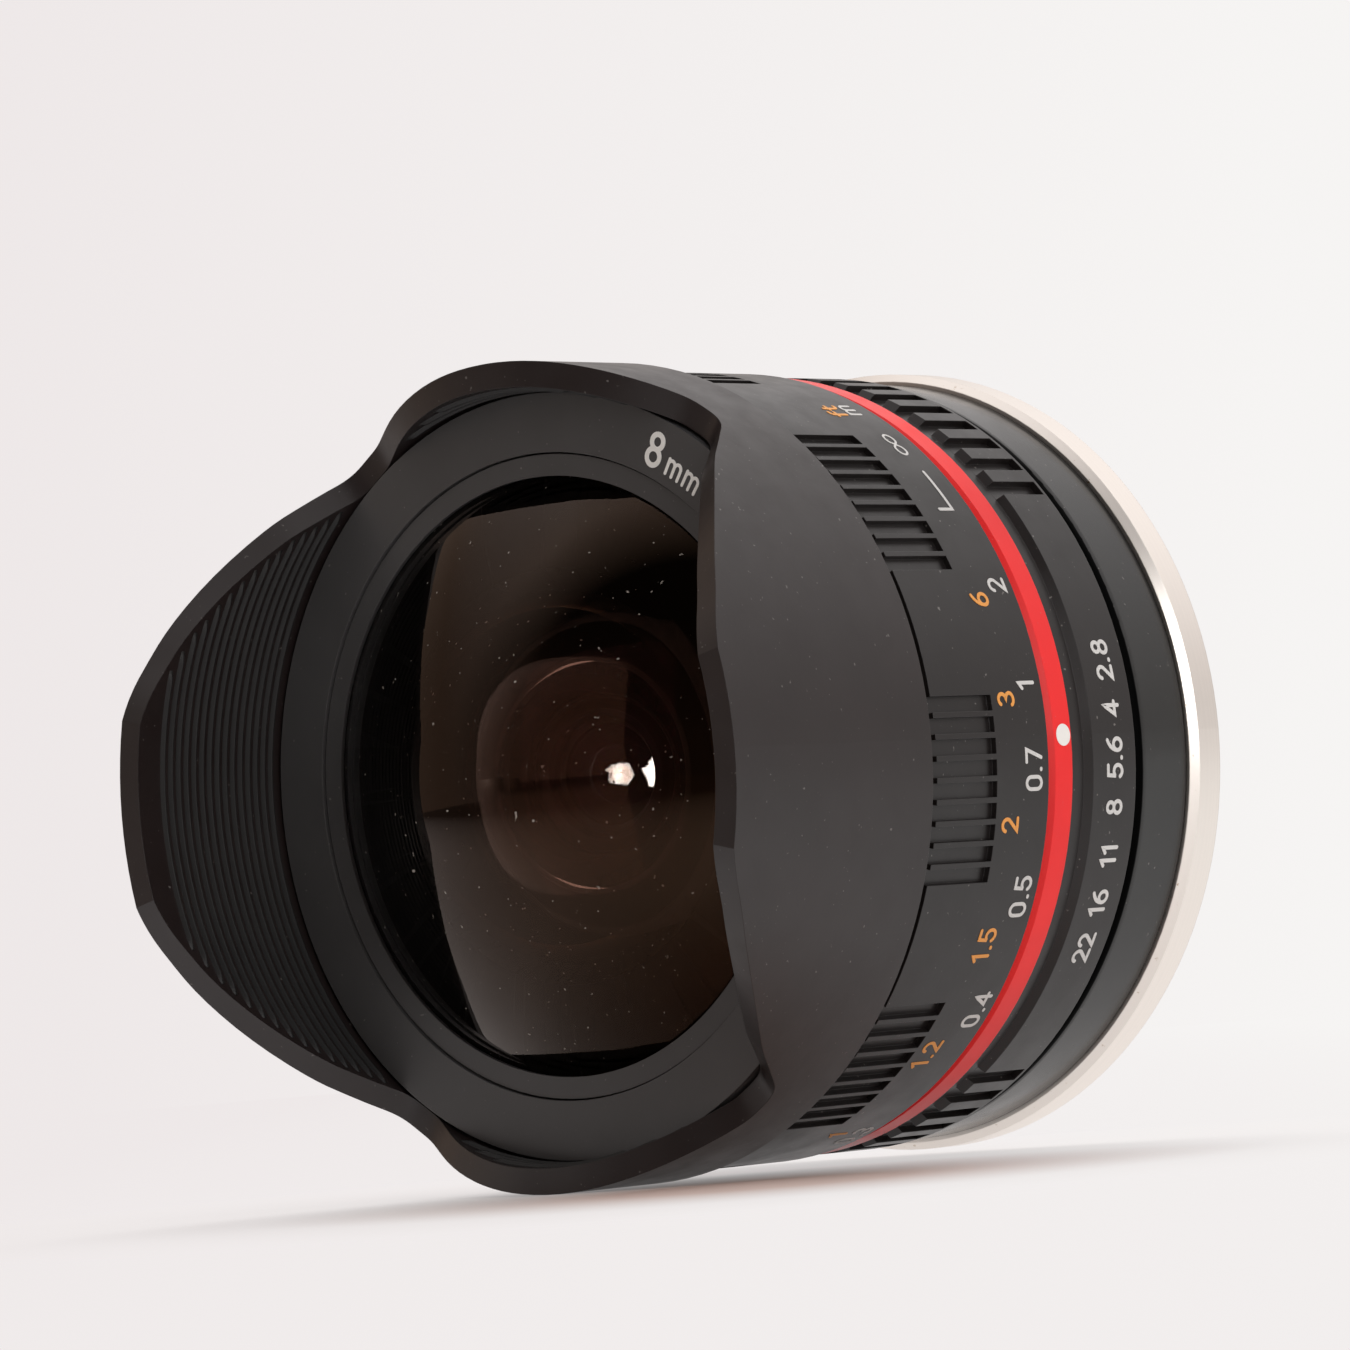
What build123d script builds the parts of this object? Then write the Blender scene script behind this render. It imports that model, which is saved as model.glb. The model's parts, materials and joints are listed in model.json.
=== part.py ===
from build123d import *
import os
from math import asin, atan2, cos, degrees, radians, sin, sqrt

os.makedirs("parts", exist_ok=True)

# A manual fisheye lens with a petal hood. Lengths are millimetres.
# The optical axis is Y, and -Y is the front. A station is a distance in front of the mount flange.
# Angles go round the axis from +X, where the index dot is, towards +Z.
# The glass sets the radii from inside out, and the rings set the stations from the flange forwards.

# Fits
SEAT_GAP = 0.02
RUN_GAP = 0.05
END_PLAY = 0.06
CUT_OVERRUN = 1.0

# Mount plate and its bayonet
FLANGE_THICKNESS = 1.6
SPIGOT_RADIUS = 20.9
SPIGOT_WALL = 1.7
SPIGOT_LENGTH = 4.6
LUG_HEIGHT = 1.7
LUG_THICKNESS = 1.6
LUG_OFFSET = 2.4
LUG_COUNT = 3
LUG_SPAN = 48.0
LUG_START = 66.0
LOCK_NOTCH_WIDTH = 2.2
LOCK_NOTCH_LENGTH = 3.0
LOCK_NOTCH_DEPTH = 1.0
LOCK_NOTCH_EDGE = 2.2
LOCK_NOTCH_ANGLE = 180.0
MOUNT_SCREW_COUNT = 4
MOUNT_SCREW_START = 45.0
MOUNT_SCREW_EDGE = 1.6
MOUNT_SCREW_RADIUS = 0.8
MOUNT_SCREW_LENGTH = 4.5
MOUNT_SCREW_HEAD_RADIUS = 1.45
MOUNT_SCREW_HEAD_HEIGHT = 0.8

# Rear baffle, a dished ring in the spigot
BAFFLE_RIM_WIDTH = 1.6
BAFFLE_RECESS = 0.6
BAFFLE_WALL = 1.0
BAFFLE_BORE_ROOM = 0.7
BAFFLE_FRONT = 1.8

# Silver ring
SILVER_WALL = 1.82
SILVER_REAR = 1.0
SILVER_WIDTH = 3.0
SILVER_CHAMFER = 0.55

# Rear barrel
REAR_BARREL_WALL = 3.2
REAR_BARREL_STEP = 1.0
REAR_BARREL_STEP_GAP = 0.1
REAR_BARREL_BAND = 5.9
REAR_BARREL_ROUND = 1.1

# Main barrel, the fixed tube that every ring turns on
BARREL_REAR_WALL = 1.8
BARREL_FOCUS_WALL = 2.4
BARREL_APERTURE_WALL = 2.8
BARREL_COLLAR_WALL = 4.2
BARREL_COLLAR_WIDTH = 2.6
HOOD_SEAT_LENGTH = 2.9

# Aperture ring
APERTURE_REAR_GROOVE = 0.63
APERTURE_BAND_WIDTH = 5.0
APERTURE_SLOPE_WIDTH = 0.45
APERTURE_LIP_WIDTH = 1.84
APERTURE_FRONT_GAP = 0.08
APERTURE_STEP_IN = 0.23
APERTURE_HUB_WALL = 1.0
GROOVE_DEPTH = 0.55
GROOVE_COUNT = 52
GROOVE_FIRST_ANGLE = 39.65
GROOVE_TURN = 5.175
GROOVE_WIDTH = 1.35
GROOVE_REAR_WALL = 0.3
STOP_ANGLE = 7.08
STOPS_FROM_OPEN = 1.5
STOP_INTERVALS = 6
BALL_RADIUS = 0.75
BALL_OFFSET = 2.77
BALL_ANGLE = -90.0
NOTCH_RADIUS = 0.6
NOTCH_DEPTH = 0.22
SPRING_LENGTH = 0.95
SPRING_BORE = 0.35

# Lever that carries the aperture ring's turn to the iris
LEVER_ANGLE = 180.0
LEVER_OFFSET = 2.37
LEVER_THICKNESS = 2.0
LEVER_WIDTH = 3.0
LEVER_TIP = 1.2
LEVER_SEAT_DEPTH = 0.8
LEVER_SLOT_ROOM = 0.3
LEVER_ROD_RADIUS = 0.8
LEVER_ROD_END = 1.0

# Index ring and its dot
INDEX_REAR_GAP = 0.09
INDEX_WIDTH = 2.39
INDEX_BEVEL = 0.42
DOT_RADIUS = 0.8
DOT_OFFSET = 0.91
DOT_DEPTH = 0.3
DOT_PROUD = 0.02

# Focus ring
FOCUS_WALL = 2.3
FOCUS_REAR_GAP = 0.2
FOCUS_LENGTH = 13.0
FOCUS_REAR_CHAMFER = 0.35
POCKET_PATCHES = 8
POCKET_PATCH_CENTRE = -7.2
POCKETS_IN_PATCH = 9
POCKET_TURN = 3.01
POCKET_WEB = 0.4
POCKET_DEPTH = 0.45
POCKET_LENGTH = 6.75
FOCUS_TURN_TO_FAR = 38.0
FOCUS_TURN_TO_NEAR = 69.8
FOCUS_TRAVEL = 0.219

# Cam sleeve inside the focus ring, with its rollers and its stop pin
SLEEVE_WALL = 1.81
SLEEVE_SEAT_GAP = 0.04
CAM_DEPTH = 1.2
ROLLER_COUNT = 3
ROLLER_START = 30.0
ROLLER_OFFSET = 3.0
ROLLER_RADIUS = 1.5
ROLLER_BORE = 0.85
ROLLER_HEAD_ROOM_RADIUS = 1.25
ROLLER_HEAD_ROOM_DEPTH = 0.55
ROLLER_TOP_GAP = 0.15
ROLLER_SCREW_RADIUS = 0.8
ROLLER_SCREW_HEAD_RADIUS = 1.2
ROLLER_SCREW_HEAD_HEIGHT = 0.4
STOP_PIN_RADIUS = 0.8
STOP_PIN_OFFSET = 0.95
STOP_PIN_ANGLE = -120.0
STOP_PIN_LENGTH = 3.6
STOP_PIN_SEAT_DEPTH = 2.0
STOP_PIN_ROOM = 0.25

# Petal hood
HOOD_PROUD = 0.6
HOOD_WALL = 1.9
HOOD_REAR_GAP = 0.9
HOOD_REAR_CHAMFER = 0.3
HOOD_FLOOR_THICKNESS = 2.9
HOOD_FLOOR_BORE_ROOM = 0.25
HOOD_DEPTH = 15.6
HOOD_VALLEY_HEIGHT = 0.55
# One quarter of the rim: angle from a long petal's middle, share of the long petals' height
RIM_SHARES = (
    (0, 1.03), (10, 1.02), (14, 0.994), (18.6, 0.935), (21.7, 0.879), (24.7, 0.826), (29.6, 0.722),
    (33.8, 0.619), (37.6, 0.517), (41.1, 0.417), (44.3, 0.316), (47, 0.210), (49.7, 0.105),
    (51.4, 0.042), (53.2, 0.008), (56, 0), (58.8, 0.008), (61, 0.037), (64.7, 0.100), (69.5, 0.169),
    (75.6, 0.232), (82, 0.272), (90, 0.282),
)

# Name ring, a plain flat ring round the front glass
NAME_RING_EDGE_GAP = 0.3
NAME_RING_THICKNESS = 1.0
NAME_RING_ROOM = 0.12

# Retaining ring of the front glass
RETAINER_OVERHANG = 0.55
RETAINER_LIP = 0.34
RETAINER_HEIGHT = 0.75
RETAINER_LENGTH = 3.15

# Front glass and the ten elements behind it. A curve is the radius of a glass surface:
# plus bulges to the front, minus to the rear.
DOME_HEIGHT = 8.26
LENS_1_FRONT_CURVE = 34.0
LENS_1_THICKNESS = 2.4
LENS_1_REAR_CURVE = 14.5
LENS_1_REAR_LEDGE = 1.0
AIR_1_2 = 5.16
LENS_2_FRONT_CURVE = 22.0
LENS_2_THICKNESS = 1.4
LENS_2_REAR_CURVE = 9.0
LENS_2_REAR_LEDGE = 0.4
LENS_2_RIM = 12.6
AIR_2_3 = 5.91
LENS_3_FRONT_CURVE = 28.0
LENS_3_THICKNESS = 1.2
LENS_3_REAR_CURVE = 11.0
LENS_3_REAR_CLEAR = 6.5
LENS_3_RIM = 9.0
AIR_3_4 = 2.89
LENS_4_FRONT_CURVE = 24.0
LENS_4_THICKNESS = 3.4
CEMENT_4_5_CURVE = -14.0
LENS_5_THICKNESS = 1.0
LENS_5_REAR_CURVE = -40.0
LENS_4_5_RIM = 7.0
AIR_5_6 = 5.2
LENS_6_FRONT_CURVE = -12.0
LENS_6_THICKNESS = 0.9
CEMENT_6_7_CURVE = 13.0
LENS_7_THICKNESS = 3.7
LENS_7_REAR_CURVE = -11.0
LENS_6_7_RIM = 5.2
AIR_7_8 = 0.4
LENS_8_FRONT_CURVE = 30.0
LENS_8_THICKNESS = 2.6
LENS_8_REAR_CURVE = -16.0
LENS_8_RIM = 5.8
AIR_8_9 = 0.4
LENS_9_FRONT_CURVE = 40.0
LENS_9_THICKNESS = 0.9
CEMENT_9_10_CURVE = 9.0
LENS_10_THICKNESS = 4.6
LENS_10_REAR_CURVE = -14.0
LENS_9_10_RIM = 6.4
AIR_10_11 = 0.4
LENS_11_FRONT_CURVE = 20.0
LENS_11_THICKNESS = 3.4
LENS_11_REAR_CURVE = -30.0
LENS_11_RIM = 7.2
SPACER_WALL = 0.65
REAR_RETAINER_WIDTH = 1.2

# Front cell, the sliding housing of the front glass and the iris
CELL_RIM_WALL = 0.63
CELL_CUP_WALL = 1.2
CELL_CUP_BEHIND_ROLLER = 2.8
CELL_SHELF_THICKNESS = 1.2
CELL_WALL_LIP = 0.1
CELL_TUBE_WALL = 2.4
CELL_WEB_THICKNESS = 0.72
CELL_WEB_LEDGE = 0.6
IRIS_HOUSING_WALL = 1.95

# Rear cell, the tube of the rear elements
REAR_CELL_WALL = 2.3
REAR_CELL_FLANGE = 1.2
REAR_CELL_LEDGE = 0.3
REAR_CELL_END = 2.2
CELL_SCREW_COUNT = 3
CELL_SCREW_START = 30.0
CELL_SCREW_EDGE = 1.0
CELL_SCREW_RADIUS = 0.5
CELL_SCREW_DEPTH = 1.8
CELL_SCREW_HEAD_RADIUS = 0.9
CELL_SCREW_HEAD_HEIGHT = 0.5

# Iris
BLADE_COUNT = 6
BLADE_THICKNESS = 0.12
BLADE_GAP = 0.05
BLADE_EDGE = 1.8
BLADE_SPAN = 130.0
BLADE_SWING = 21.5
BLADE_EAR_RADIUS = 1.25
BLADE_ARM_END_RADIUS = 0.9
BLADE_NECK_WIDTH = 2.4
BLADE_NECK_LENGTH = 3.2
BLADE_NECK_ANGLE = 8.0
IRIS_OPEN_RADIUS = 4.5
PIVOT_EDGE = 2.25
STUD_RADIUS = 0.45
STUD_DEPTH = 0.7
DRIVE_ARM = 2.6
SLOT_ROOM = 0.1
CAM_RING_WIDTH = 3.25
CAM_RING_THICKNESS = 0.8
FORK_WIDTH = 3.4
FORK_REACH = 5.6
FORK_END_GAP = 0.95
FORK_TIP = 1.8
FORK_SLOT_DEPTH = 3.2
FORK_ROOM = 0.06
BASE_PLATE_THICKNESS = 1.0

# Radii, from the second glass outwards
CELL_TUBE_RADIUS = LENS_2_RIM + CELL_TUBE_WALL
IRIS_HOUSING_BORE = CELL_TUBE_RADIUS - IRIS_HOUSING_WALL
CAM_RING_BORE = IRIS_HOUSING_BORE - CAM_RING_WIDTH
PIVOT_CIRCLE = IRIS_HOUSING_BORE - PIVOT_EDGE
BLADE_OUTER = PIVOT_CIRCLE - BLADE_EDGE
BLADE_NECK_CIRCLE = PIVOT_CIRCLE - BLADE_NECK_LENGTH
CELL_SCREW_CIRCLE = CELL_TUBE_RADIUS - CELL_SCREW_EDGE
FORK_OUTER = CELL_TUBE_RADIUS + FORK_REACH
LEVER_ROD_CIRCLE = FORK_OUTER - FORK_TIP
LEVER_INNER = LEVER_ROD_CIRCLE - LEVER_TIP
CELL_CUP_BORE = FORK_OUTER + FORK_END_GAP
CELL_RADIUS = CELL_CUP_BORE + CELL_CUP_WALL
LENS_1_RIM = CELL_RADIUS - CELL_RIM_WALL - SEAT_GAP
LENS_1_REAR_CLEAR = LENS_1_REAR_CURVE - LENS_1_REAR_LEDGE
LENS_2_REAR_CLEAR = LENS_2_REAR_CURVE - LENS_2_REAR_LEDGE
CELL_WEB_BORE = LENS_4_5_RIM - CELL_WEB_LEDGE
REAR_CELL_RADIUS = LENS_11_RIM + REAR_CELL_WALL
REAR_CELL_LIP_BORE = LENS_6_7_RIM - REAR_CELL_LEDGE
BARREL_BORE = CELL_RADIUS + RUN_GAP
BARREL_REAR_RADIUS = BARREL_BORE + BARREL_REAR_WALL
BARREL_FOCUS_RADIUS = BARREL_BORE + BARREL_FOCUS_WALL
BARREL_APERTURE_RADIUS = BARREL_BORE + BARREL_APERTURE_WALL
BARREL_COLLAR_RADIUS = BARREL_BORE + BARREL_COLLAR_WALL
RETAINER_RADIUS = BARREL_BORE + RETAINER_OVERHANG
RETAINER_BORE = LENS_1_RIM - RETAINER_LIP
STOP_PIN_CIRCLE = BARREL_FOCUS_RADIUS + STOP_PIN_OFFSET
SLEEVE_BORE = BARREL_FOCUS_RADIUS + RUN_GAP
SLEEVE_RADIUS = SLEEVE_BORE + SLEEVE_WALL
ROLLER_TOP = SLEEVE_BORE + CAM_DEPTH - ROLLER_TOP_GAP
FOCUS_BORE = SLEEVE_RADIUS + SLEEVE_SEAT_GAP
FOCUS_RADIUS = FOCUS_BORE + FOCUS_WALL
HOOD_RADIUS = FOCUS_RADIUS + HOOD_PROUD
HOOD_BORE = HOOD_RADIUS - HOOD_WALL
NAME_RING_RADIUS = HOOD_BORE - NAME_RING_EDGE_GAP
APERTURE_BORE = BARREL_APERTURE_RADIUS + RUN_GAP
APERTURE_HUB_RADIUS = BARREL_APERTURE_RADIUS + APERTURE_HUB_WALL
APERTURE_RADIUS = FOCUS_RADIUS - APERTURE_STEP_IN
APERTURE_LOW_RADIUS = APERTURE_RADIUS - GROOVE_DEPTH
INDEX_RADIUS = APERTURE_RADIUS
REAR_BARREL_NECK_RADIUS = BARREL_REAR_RADIUS + REAR_BARREL_WALL
REAR_BARREL_RADIUS = REAR_BARREL_NECK_RADIUS + REAR_BARREL_STEP
SILVER_RADIUS = REAR_BARREL_NECK_RADIUS + SILVER_WALL
FLANGE_RADIUS = REAR_BARREL_NECK_RADIUS
MOUNT_SCREW_CIRCLE = FLANGE_RADIUS - MOUNT_SCREW_EDGE
LOCK_NOTCH_CIRCLE = FLANGE_RADIUS - LOCK_NOTCH_EDGE

# Stations of the rings, from the flange forwards
SILVER_FRONT = SILVER_REAR + SILVER_WIDTH
REAR_BARREL_SHOULDER = SILVER_FRONT + REAR_BARREL_STEP_GAP
REAR_BARREL_FRONT = REAR_BARREL_SHOULDER + REAR_BARREL_BAND
APERTURE_REAR = REAR_BARREL_FRONT + APERTURE_REAR_GROOVE
APERTURE_BAND_FRONT = APERTURE_REAR + APERTURE_BAND_WIDTH
APERTURE_SLOPE_FRONT = APERTURE_BAND_FRONT + APERTURE_SLOPE_WIDTH
APERTURE_FRONT = APERTURE_SLOPE_FRONT + APERTURE_LIP_WIDTH
BALL_STATION = APERTURE_REAR + BALL_OFFSET
LEVER_REAR = APERTURE_REAR + LEVER_OFFSET
LEVER_FRONT = LEVER_REAR + LEVER_THICKNESS
BARREL_COLLAR_REAR = APERTURE_FRONT + APERTURE_FRONT_GAP
BARREL_COLLAR_FRONT = BARREL_COLLAR_REAR + BARREL_COLLAR_WIDTH
INDEX_REAR = BARREL_COLLAR_REAR + INDEX_REAR_GAP
INDEX_FRONT = INDEX_REAR + INDEX_WIDTH
DOT_STATION = INDEX_REAR + DOT_OFFSET
FOCUS_REAR = BARREL_COLLAR_FRONT + FOCUS_REAR_GAP
FOCUS_FRONT = FOCUS_REAR + FOCUS_LENGTH
ROLLER_STATION = FOCUS_FRONT - ROLLER_OFFSET
CELL_CUP_REAR = ROLLER_STATION - CELL_CUP_BEHIND_ROLLER
HOOD_REAR = FOCUS_FRONT + HOOD_REAR_GAP
BARREL_FRONT = HOOD_REAR + HOOD_SEAT_LENGTH
HOOD_FLOOR_FRONT = BARREL_FRONT + HOOD_FLOOR_THICKNESS
HOOD_VALLEY = HOOD_FLOOR_FRONT + HOOD_VALLEY_HEIGHT
HOOD_TIP = HOOD_FLOOR_FRONT + HOOD_DEPTH
RETAINER_FRONT = HOOD_FLOOR_FRONT + RETAINER_HEIGHT
FRONT_VERTEX = HOOD_FLOOR_FRONT + DOME_HEIGHT

# Turns and travels
POCKET_WIDTH = FOCUS_RADIUS * radians(POCKET_TURN) - POCKET_WEB
OPEN_TURN = STOP_ANGLE * STOPS_FROM_OPEN
CLOSED_TURN = OPEN_TURN - STOP_ANGLE * STOP_INTERVALS
REST_SWING = BLADE_SWING * STOPS_FROM_OPEN / STOP_INTERVALS
FOCUS_TURN = FOCUS_TURN_TO_FAR + FOCUS_TURN_TO_NEAR
TRAVEL_TO_NEAR = FOCUS_TRAVEL * FOCUS_TURN_TO_NEAR / FOCUS_TURN
TRAVEL_TO_FAR = FOCUS_TRAVEL - TRAVEL_TO_NEAR


# Curve of a surface that isn't curved
FLAT = 0


def sag(curve, height):
    """How far a glass surface falls back from its vertex at a height; minus is forward."""
    if curve == FLAT:
        return 0
    depth = abs(curve) - sqrt(curve * curve - height * height)
    return depth if curve > 0 else -depth


VERTEX_2 = FRONT_VERTEX - LENS_1_THICKNESS - AIR_1_2
VERTEX_3 = VERTEX_2 - LENS_2_THICKNESS - AIR_2_3
VERTEX_4 = VERTEX_3 - LENS_3_THICKNESS - AIR_3_4
VERTEX_5 = VERTEX_4 - LENS_4_THICKNESS
VERTEX_6 = VERTEX_5 - LENS_5_THICKNESS - AIR_5_6
VERTEX_7 = VERTEX_6 - LENS_6_THICKNESS
VERTEX_8 = VERTEX_7 - LENS_7_THICKNESS - AIR_7_8
VERTEX_9 = VERTEX_8 - LENS_8_THICKNESS - AIR_8_9
VERTEX_10 = VERTEX_9 - LENS_9_THICKNESS
VERTEX_11 = VERTEX_10 - LENS_10_THICKNESS - AIR_10_11

# Seats of the glass in the two cells
SEAT_1 = FRONT_VERTEX - LENS_1_THICKNESS - sag(LENS_1_REAR_CURVE, LENS_1_REAR_CLEAR)
SEAT_2 = VERTEX_2 - LENS_2_THICKNESS - sag(LENS_2_REAR_CURVE, LENS_2_REAR_CLEAR)
SEAT_3 = VERTEX_3 - LENS_3_THICKNESS - sag(LENS_3_REAR_CURVE, LENS_3_REAR_CLEAR)
SEAT_5 = VERTEX_5 - LENS_5_THICKNESS - sag(LENS_5_REAR_CURVE, CELL_WEB_BORE)
SEAT_6 = VERTEX_6 - sag(LENS_6_FRONT_CURVE, LENS_6_7_RIM)

# Stack of the iris, from the web of the front cell backwards
IRIS_FRONT = SEAT_5 - CELL_WEB_THICKNESS
CAM_RING_REAR = IRIS_FRONT - END_PLAY - CAM_RING_THICKNESS
BLADE_STEP = BLADE_THICKNESS + BLADE_GAP
BASE_PLATE_FRONT = CAM_RING_REAR - BLADE_GAP - BLADE_COUNT * BLADE_STEP
BASE_PLATE_REAR = BASE_PLATE_FRONT - BASE_PLATE_THICKNESS


def facing(station):
    """Plane across the axis at a station, seen from the front, with local y up."""
    return Plane(origin=(0, -station, 0), x_dir=(1, 0, 0), z_dir=(0, -1, 0))


def turned(*outline):
    """Solid turned about the optical axis from (radius, station) corners."""
    corners = [(radius, -station) for radius, station in outline]
    return revolve(make_face(Polyline(corners, close=True)), Axis.Y)


def ring(bore, outer, rear, front):
    return turned((bore, rear), (outer, rear), (outer, front), (bore, front))


def prism(sketch, rear, front):
    """Sketch seen from the front, made solid between two stations."""
    return extrude(facing(rear) * sketch, front - rear)


def around(shape, angle):
    """Shape turned about the axis by an angle from +X towards +Z."""
    return Rot(0, -angle, 0) * shape


def arc_band(inner, outer, start, span):
    """Flat band between two radii, from a start angle round a span."""
    rim = CenterArc((0, 0), outer, start, span)
    bore = CenterArc((0, 0), inner, start, span)
    return make_face([rim, Line(rim @ 1, bore @ 1), bore, Line(rim @ 0, bore @ 0)])


def radial_rod(radius, inner, outer, station, angle):
    turn = radians(angle)
    out = Vector(cos(turn), 0, sin(turn))
    base = Plane(origin=out * inner + Vector(0, -station, 0), z_dir=out)
    return base * Cylinder(radius, outer - inner, align=(Align.CENTER, Align.CENTER, Align.MIN))


def axial_rod(radius, circle, angle, rear, front):
    return prism(Rot(0, 0, angle) * Pos(circle, 0) * Circle(radius), rear, front)


def axial_bar(width, inner, outer, angle, rear, front):
    """Bar that lies along a radius, between two radii and two stations."""
    place = Rot(0, 0, angle) * Pos((inner + outer) / 2, 0)
    return prism(place * Rectangle(outer - inner, width), rear, front)


def spread(count, start=0.0):
    return [start + 360 * number / count for number in range(count)]


def save(shape, name):
    shape.label = name
    export_step(shape, f"parts/{name}.step")


def save_group(shapes, name):
    save(Compound(children=list(shapes)), name)


def mount_plate():
    bore = SPIGOT_RADIUS - SPIGOT_WALL
    plate = turned(
        (bore, -SPIGOT_LENGTH), (SPIGOT_RADIUS, -SPIGOT_LENGTH), (SPIGOT_RADIUS, 0),
        (FLANGE_RADIUS, 0), (FLANGE_RADIUS, FLANGE_THICKNESS), (bore, FLANGE_THICKNESS),
    )
    root = SPIGOT_RADIUS - SPIGOT_WALL / 2
    for angle in spread(LUG_COUNT, LUG_START):
        lug = arc_band(root, SPIGOT_RADIUS + LUG_HEIGHT, angle, LUG_SPAN)
        plate += prism(lug, -LUG_OFFSET - LUG_THICKNESS, -LUG_OFFSET)
    notch = Rot(0, 0, LOCK_NOTCH_ANGLE) * Pos(LOCK_NOTCH_CIRCLE, 0)
    notch *= SlotOverall(LOCK_NOTCH_LENGTH, LOCK_NOTCH_WIDTH)
    plate -= prism(notch, -CUT_OVERRUN, LOCK_NOTCH_DEPTH)
    return plate - mount_screw_set(SEAT_GAP)


def mount_screw_set(room):
    """Countersunk screws, or with room their holes."""
    head = MOUNT_SCREW_HEAD_RADIUS + room
    shank = MOUNT_SCREW_RADIUS + room
    screw = turned(
        (0, 0), (head, 0), (shank, MOUNT_SCREW_HEAD_HEIGHT),
        (shank, MOUNT_SCREW_LENGTH + room), (0, MOUNT_SCREW_LENGTH + room),
    )
    seats = spread(MOUNT_SCREW_COUNT, MOUNT_SCREW_START)
    return [around(Pos(MOUNT_SCREW_CIRCLE, 0, 0) * screw, angle) for angle in seats]


def rear_baffle():
    outer = SPIGOT_RADIUS - SPIGOT_WALL - SEAT_GAP
    bore = REAR_CELL_RADIUS + BAFFLE_BORE_ROOM
    rear = -SPIGOT_LENGTH + BAFFLE_RECESS
    return turned(
        (outer - BAFFLE_WALL, rear), (outer, rear), (outer, rear + BAFFLE_RIM_WIDTH),
        (bore, BAFFLE_FRONT), (bore, BAFFLE_FRONT - BAFFLE_WALL),
    )


def silver_ring():
    bore = REAR_BARREL_NECK_RADIUS + SEAT_GAP
    return turned(
        (bore, SILVER_REAR), (SILVER_RADIUS, SILVER_REAR),
        (SILVER_RADIUS, SILVER_FRONT - SILVER_CHAMFER), (SILVER_RADIUS - SILVER_CHAMFER, SILVER_FRONT),
        (bore, SILVER_FRONT),
    )


def rear_barrel():
    bore = BARREL_REAR_RADIUS + SEAT_GAP
    corners = [
        (bore, FLANGE_THICKNESS), (REAR_BARREL_NECK_RADIUS, FLANGE_THICKNESS),
        (REAR_BARREL_NECK_RADIUS, REAR_BARREL_SHOULDER), (REAR_BARREL_RADIUS, REAR_BARREL_SHOULDER),
        (REAR_BARREL_RADIUS, REAR_BARREL_FRONT), (bore, REAR_BARREL_FRONT),
    ]
    profile = make_face(Polyline([(radius, -station) for radius, station in corners], close=True))
    corner = profile.vertices().sort_by_distance((REAR_BARREL_RADIUS, -REAR_BARREL_FRONT))[0]
    profile = fillet(corner, REAR_BARREL_ROUND)
    return revolve(profile, Axis.Y) - mount_screw_set(SEAT_GAP)


def main_barrel():
    tube = turned(
        (BARREL_BORE, FLANGE_THICKNESS), (BARREL_REAR_RADIUS, FLANGE_THICKNESS),
        (BARREL_REAR_RADIUS, REAR_BARREL_FRONT), (BARREL_APERTURE_RADIUS, REAR_BARREL_FRONT),
        (BARREL_APERTURE_RADIUS, BARREL_COLLAR_REAR), (BARREL_COLLAR_RADIUS, BARREL_COLLAR_REAR),
        (BARREL_COLLAR_RADIUS, BARREL_COLLAR_FRONT), (BARREL_FOCUS_RADIUS, BARREL_COLLAR_FRONT),
        (BARREL_FOCUS_RADIUS, BARREL_FRONT), (BARREL_BORE, BARREL_FRONT),
    )
    return tube - [lever_window(), ball_hole(), stop_pin(SEAT_GAP), *roller_slots()]


def lever_window():
    """Slot that the lever swings in, as wide as its whole turn."""
    side = degrees(asin((LEVER_WIDTH / 2 + LEVER_SLOT_ROOM) / BARREL_BORE))
    start = LEVER_ANGLE - OPEN_TURN - side
    end = LEVER_ANGLE - CLOSED_TURN + side
    band = arc_band(
        BARREL_BORE - CUT_OVERRUN, BARREL_APERTURE_RADIUS + CUT_OVERRUN, start, end - start
    )
    return prism(band, LEVER_REAR - LEVER_SLOT_ROOM, LEVER_FRONT + LEVER_SLOT_ROOM)


def ball_hole():
    floor = BARREL_APERTURE_RADIUS - 2 * BALL_RADIUS - SPRING_LENGTH
    return radial_rod(
        BALL_RADIUS + SEAT_GAP, floor, BARREL_APERTURE_RADIUS + CUT_OVERRUN, BALL_STATION, BALL_ANGLE
    )


def roller_slots():
    """Straight slots that keep the sliding cell from turning."""
    reach = ROLLER_RADIUS + RUN_GAP
    front = ROLLER_STATION + TRAVEL_TO_NEAR
    rear = ROLLER_STATION - TRAVEL_TO_FAR
    slots = []
    for angle in spread(ROLLER_COUNT, ROLLER_START):
        inner = BARREL_BORE - CUT_OVERRUN
        outer = BARREL_FOCUS_RADIUS + CUT_OVERRUN
        bar = axial_bar(2 * reach, inner, outer, angle, rear, front)
        bar += radial_rod(reach, inner, outer, rear, angle)
        bar += radial_rod(reach, inner, outer, front, angle)
        slots.append(bar)
    return slots


def click_ball():
    centre = BARREL_APERTURE_RADIUS - BALL_RADIUS
    return around(Pos(centre, -BALL_STATION, 0) * Sphere(BALL_RADIUS), BALL_ANGLE)


def click_spring():
    outer = BARREL_APERTURE_RADIUS - 2 * BALL_RADIUS
    inner = outer - SPRING_LENGTH
    coil = radial_rod(BALL_RADIUS - RUN_GAP, inner, outer, BALL_STATION, BALL_ANGLE)
    return coil - radial_rod(SPRING_BORE, inner, outer, BALL_STATION, BALL_ANGLE)


def stop_pin(room=0.0):
    rear = BARREL_COLLAR_FRONT - STOP_PIN_SEAT_DEPTH
    return axial_rod(
        STOP_PIN_RADIUS + room, STOP_PIN_CIRCLE, STOP_PIN_ANGLE, rear - room, rear + STOP_PIN_LENGTH
    )


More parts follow.
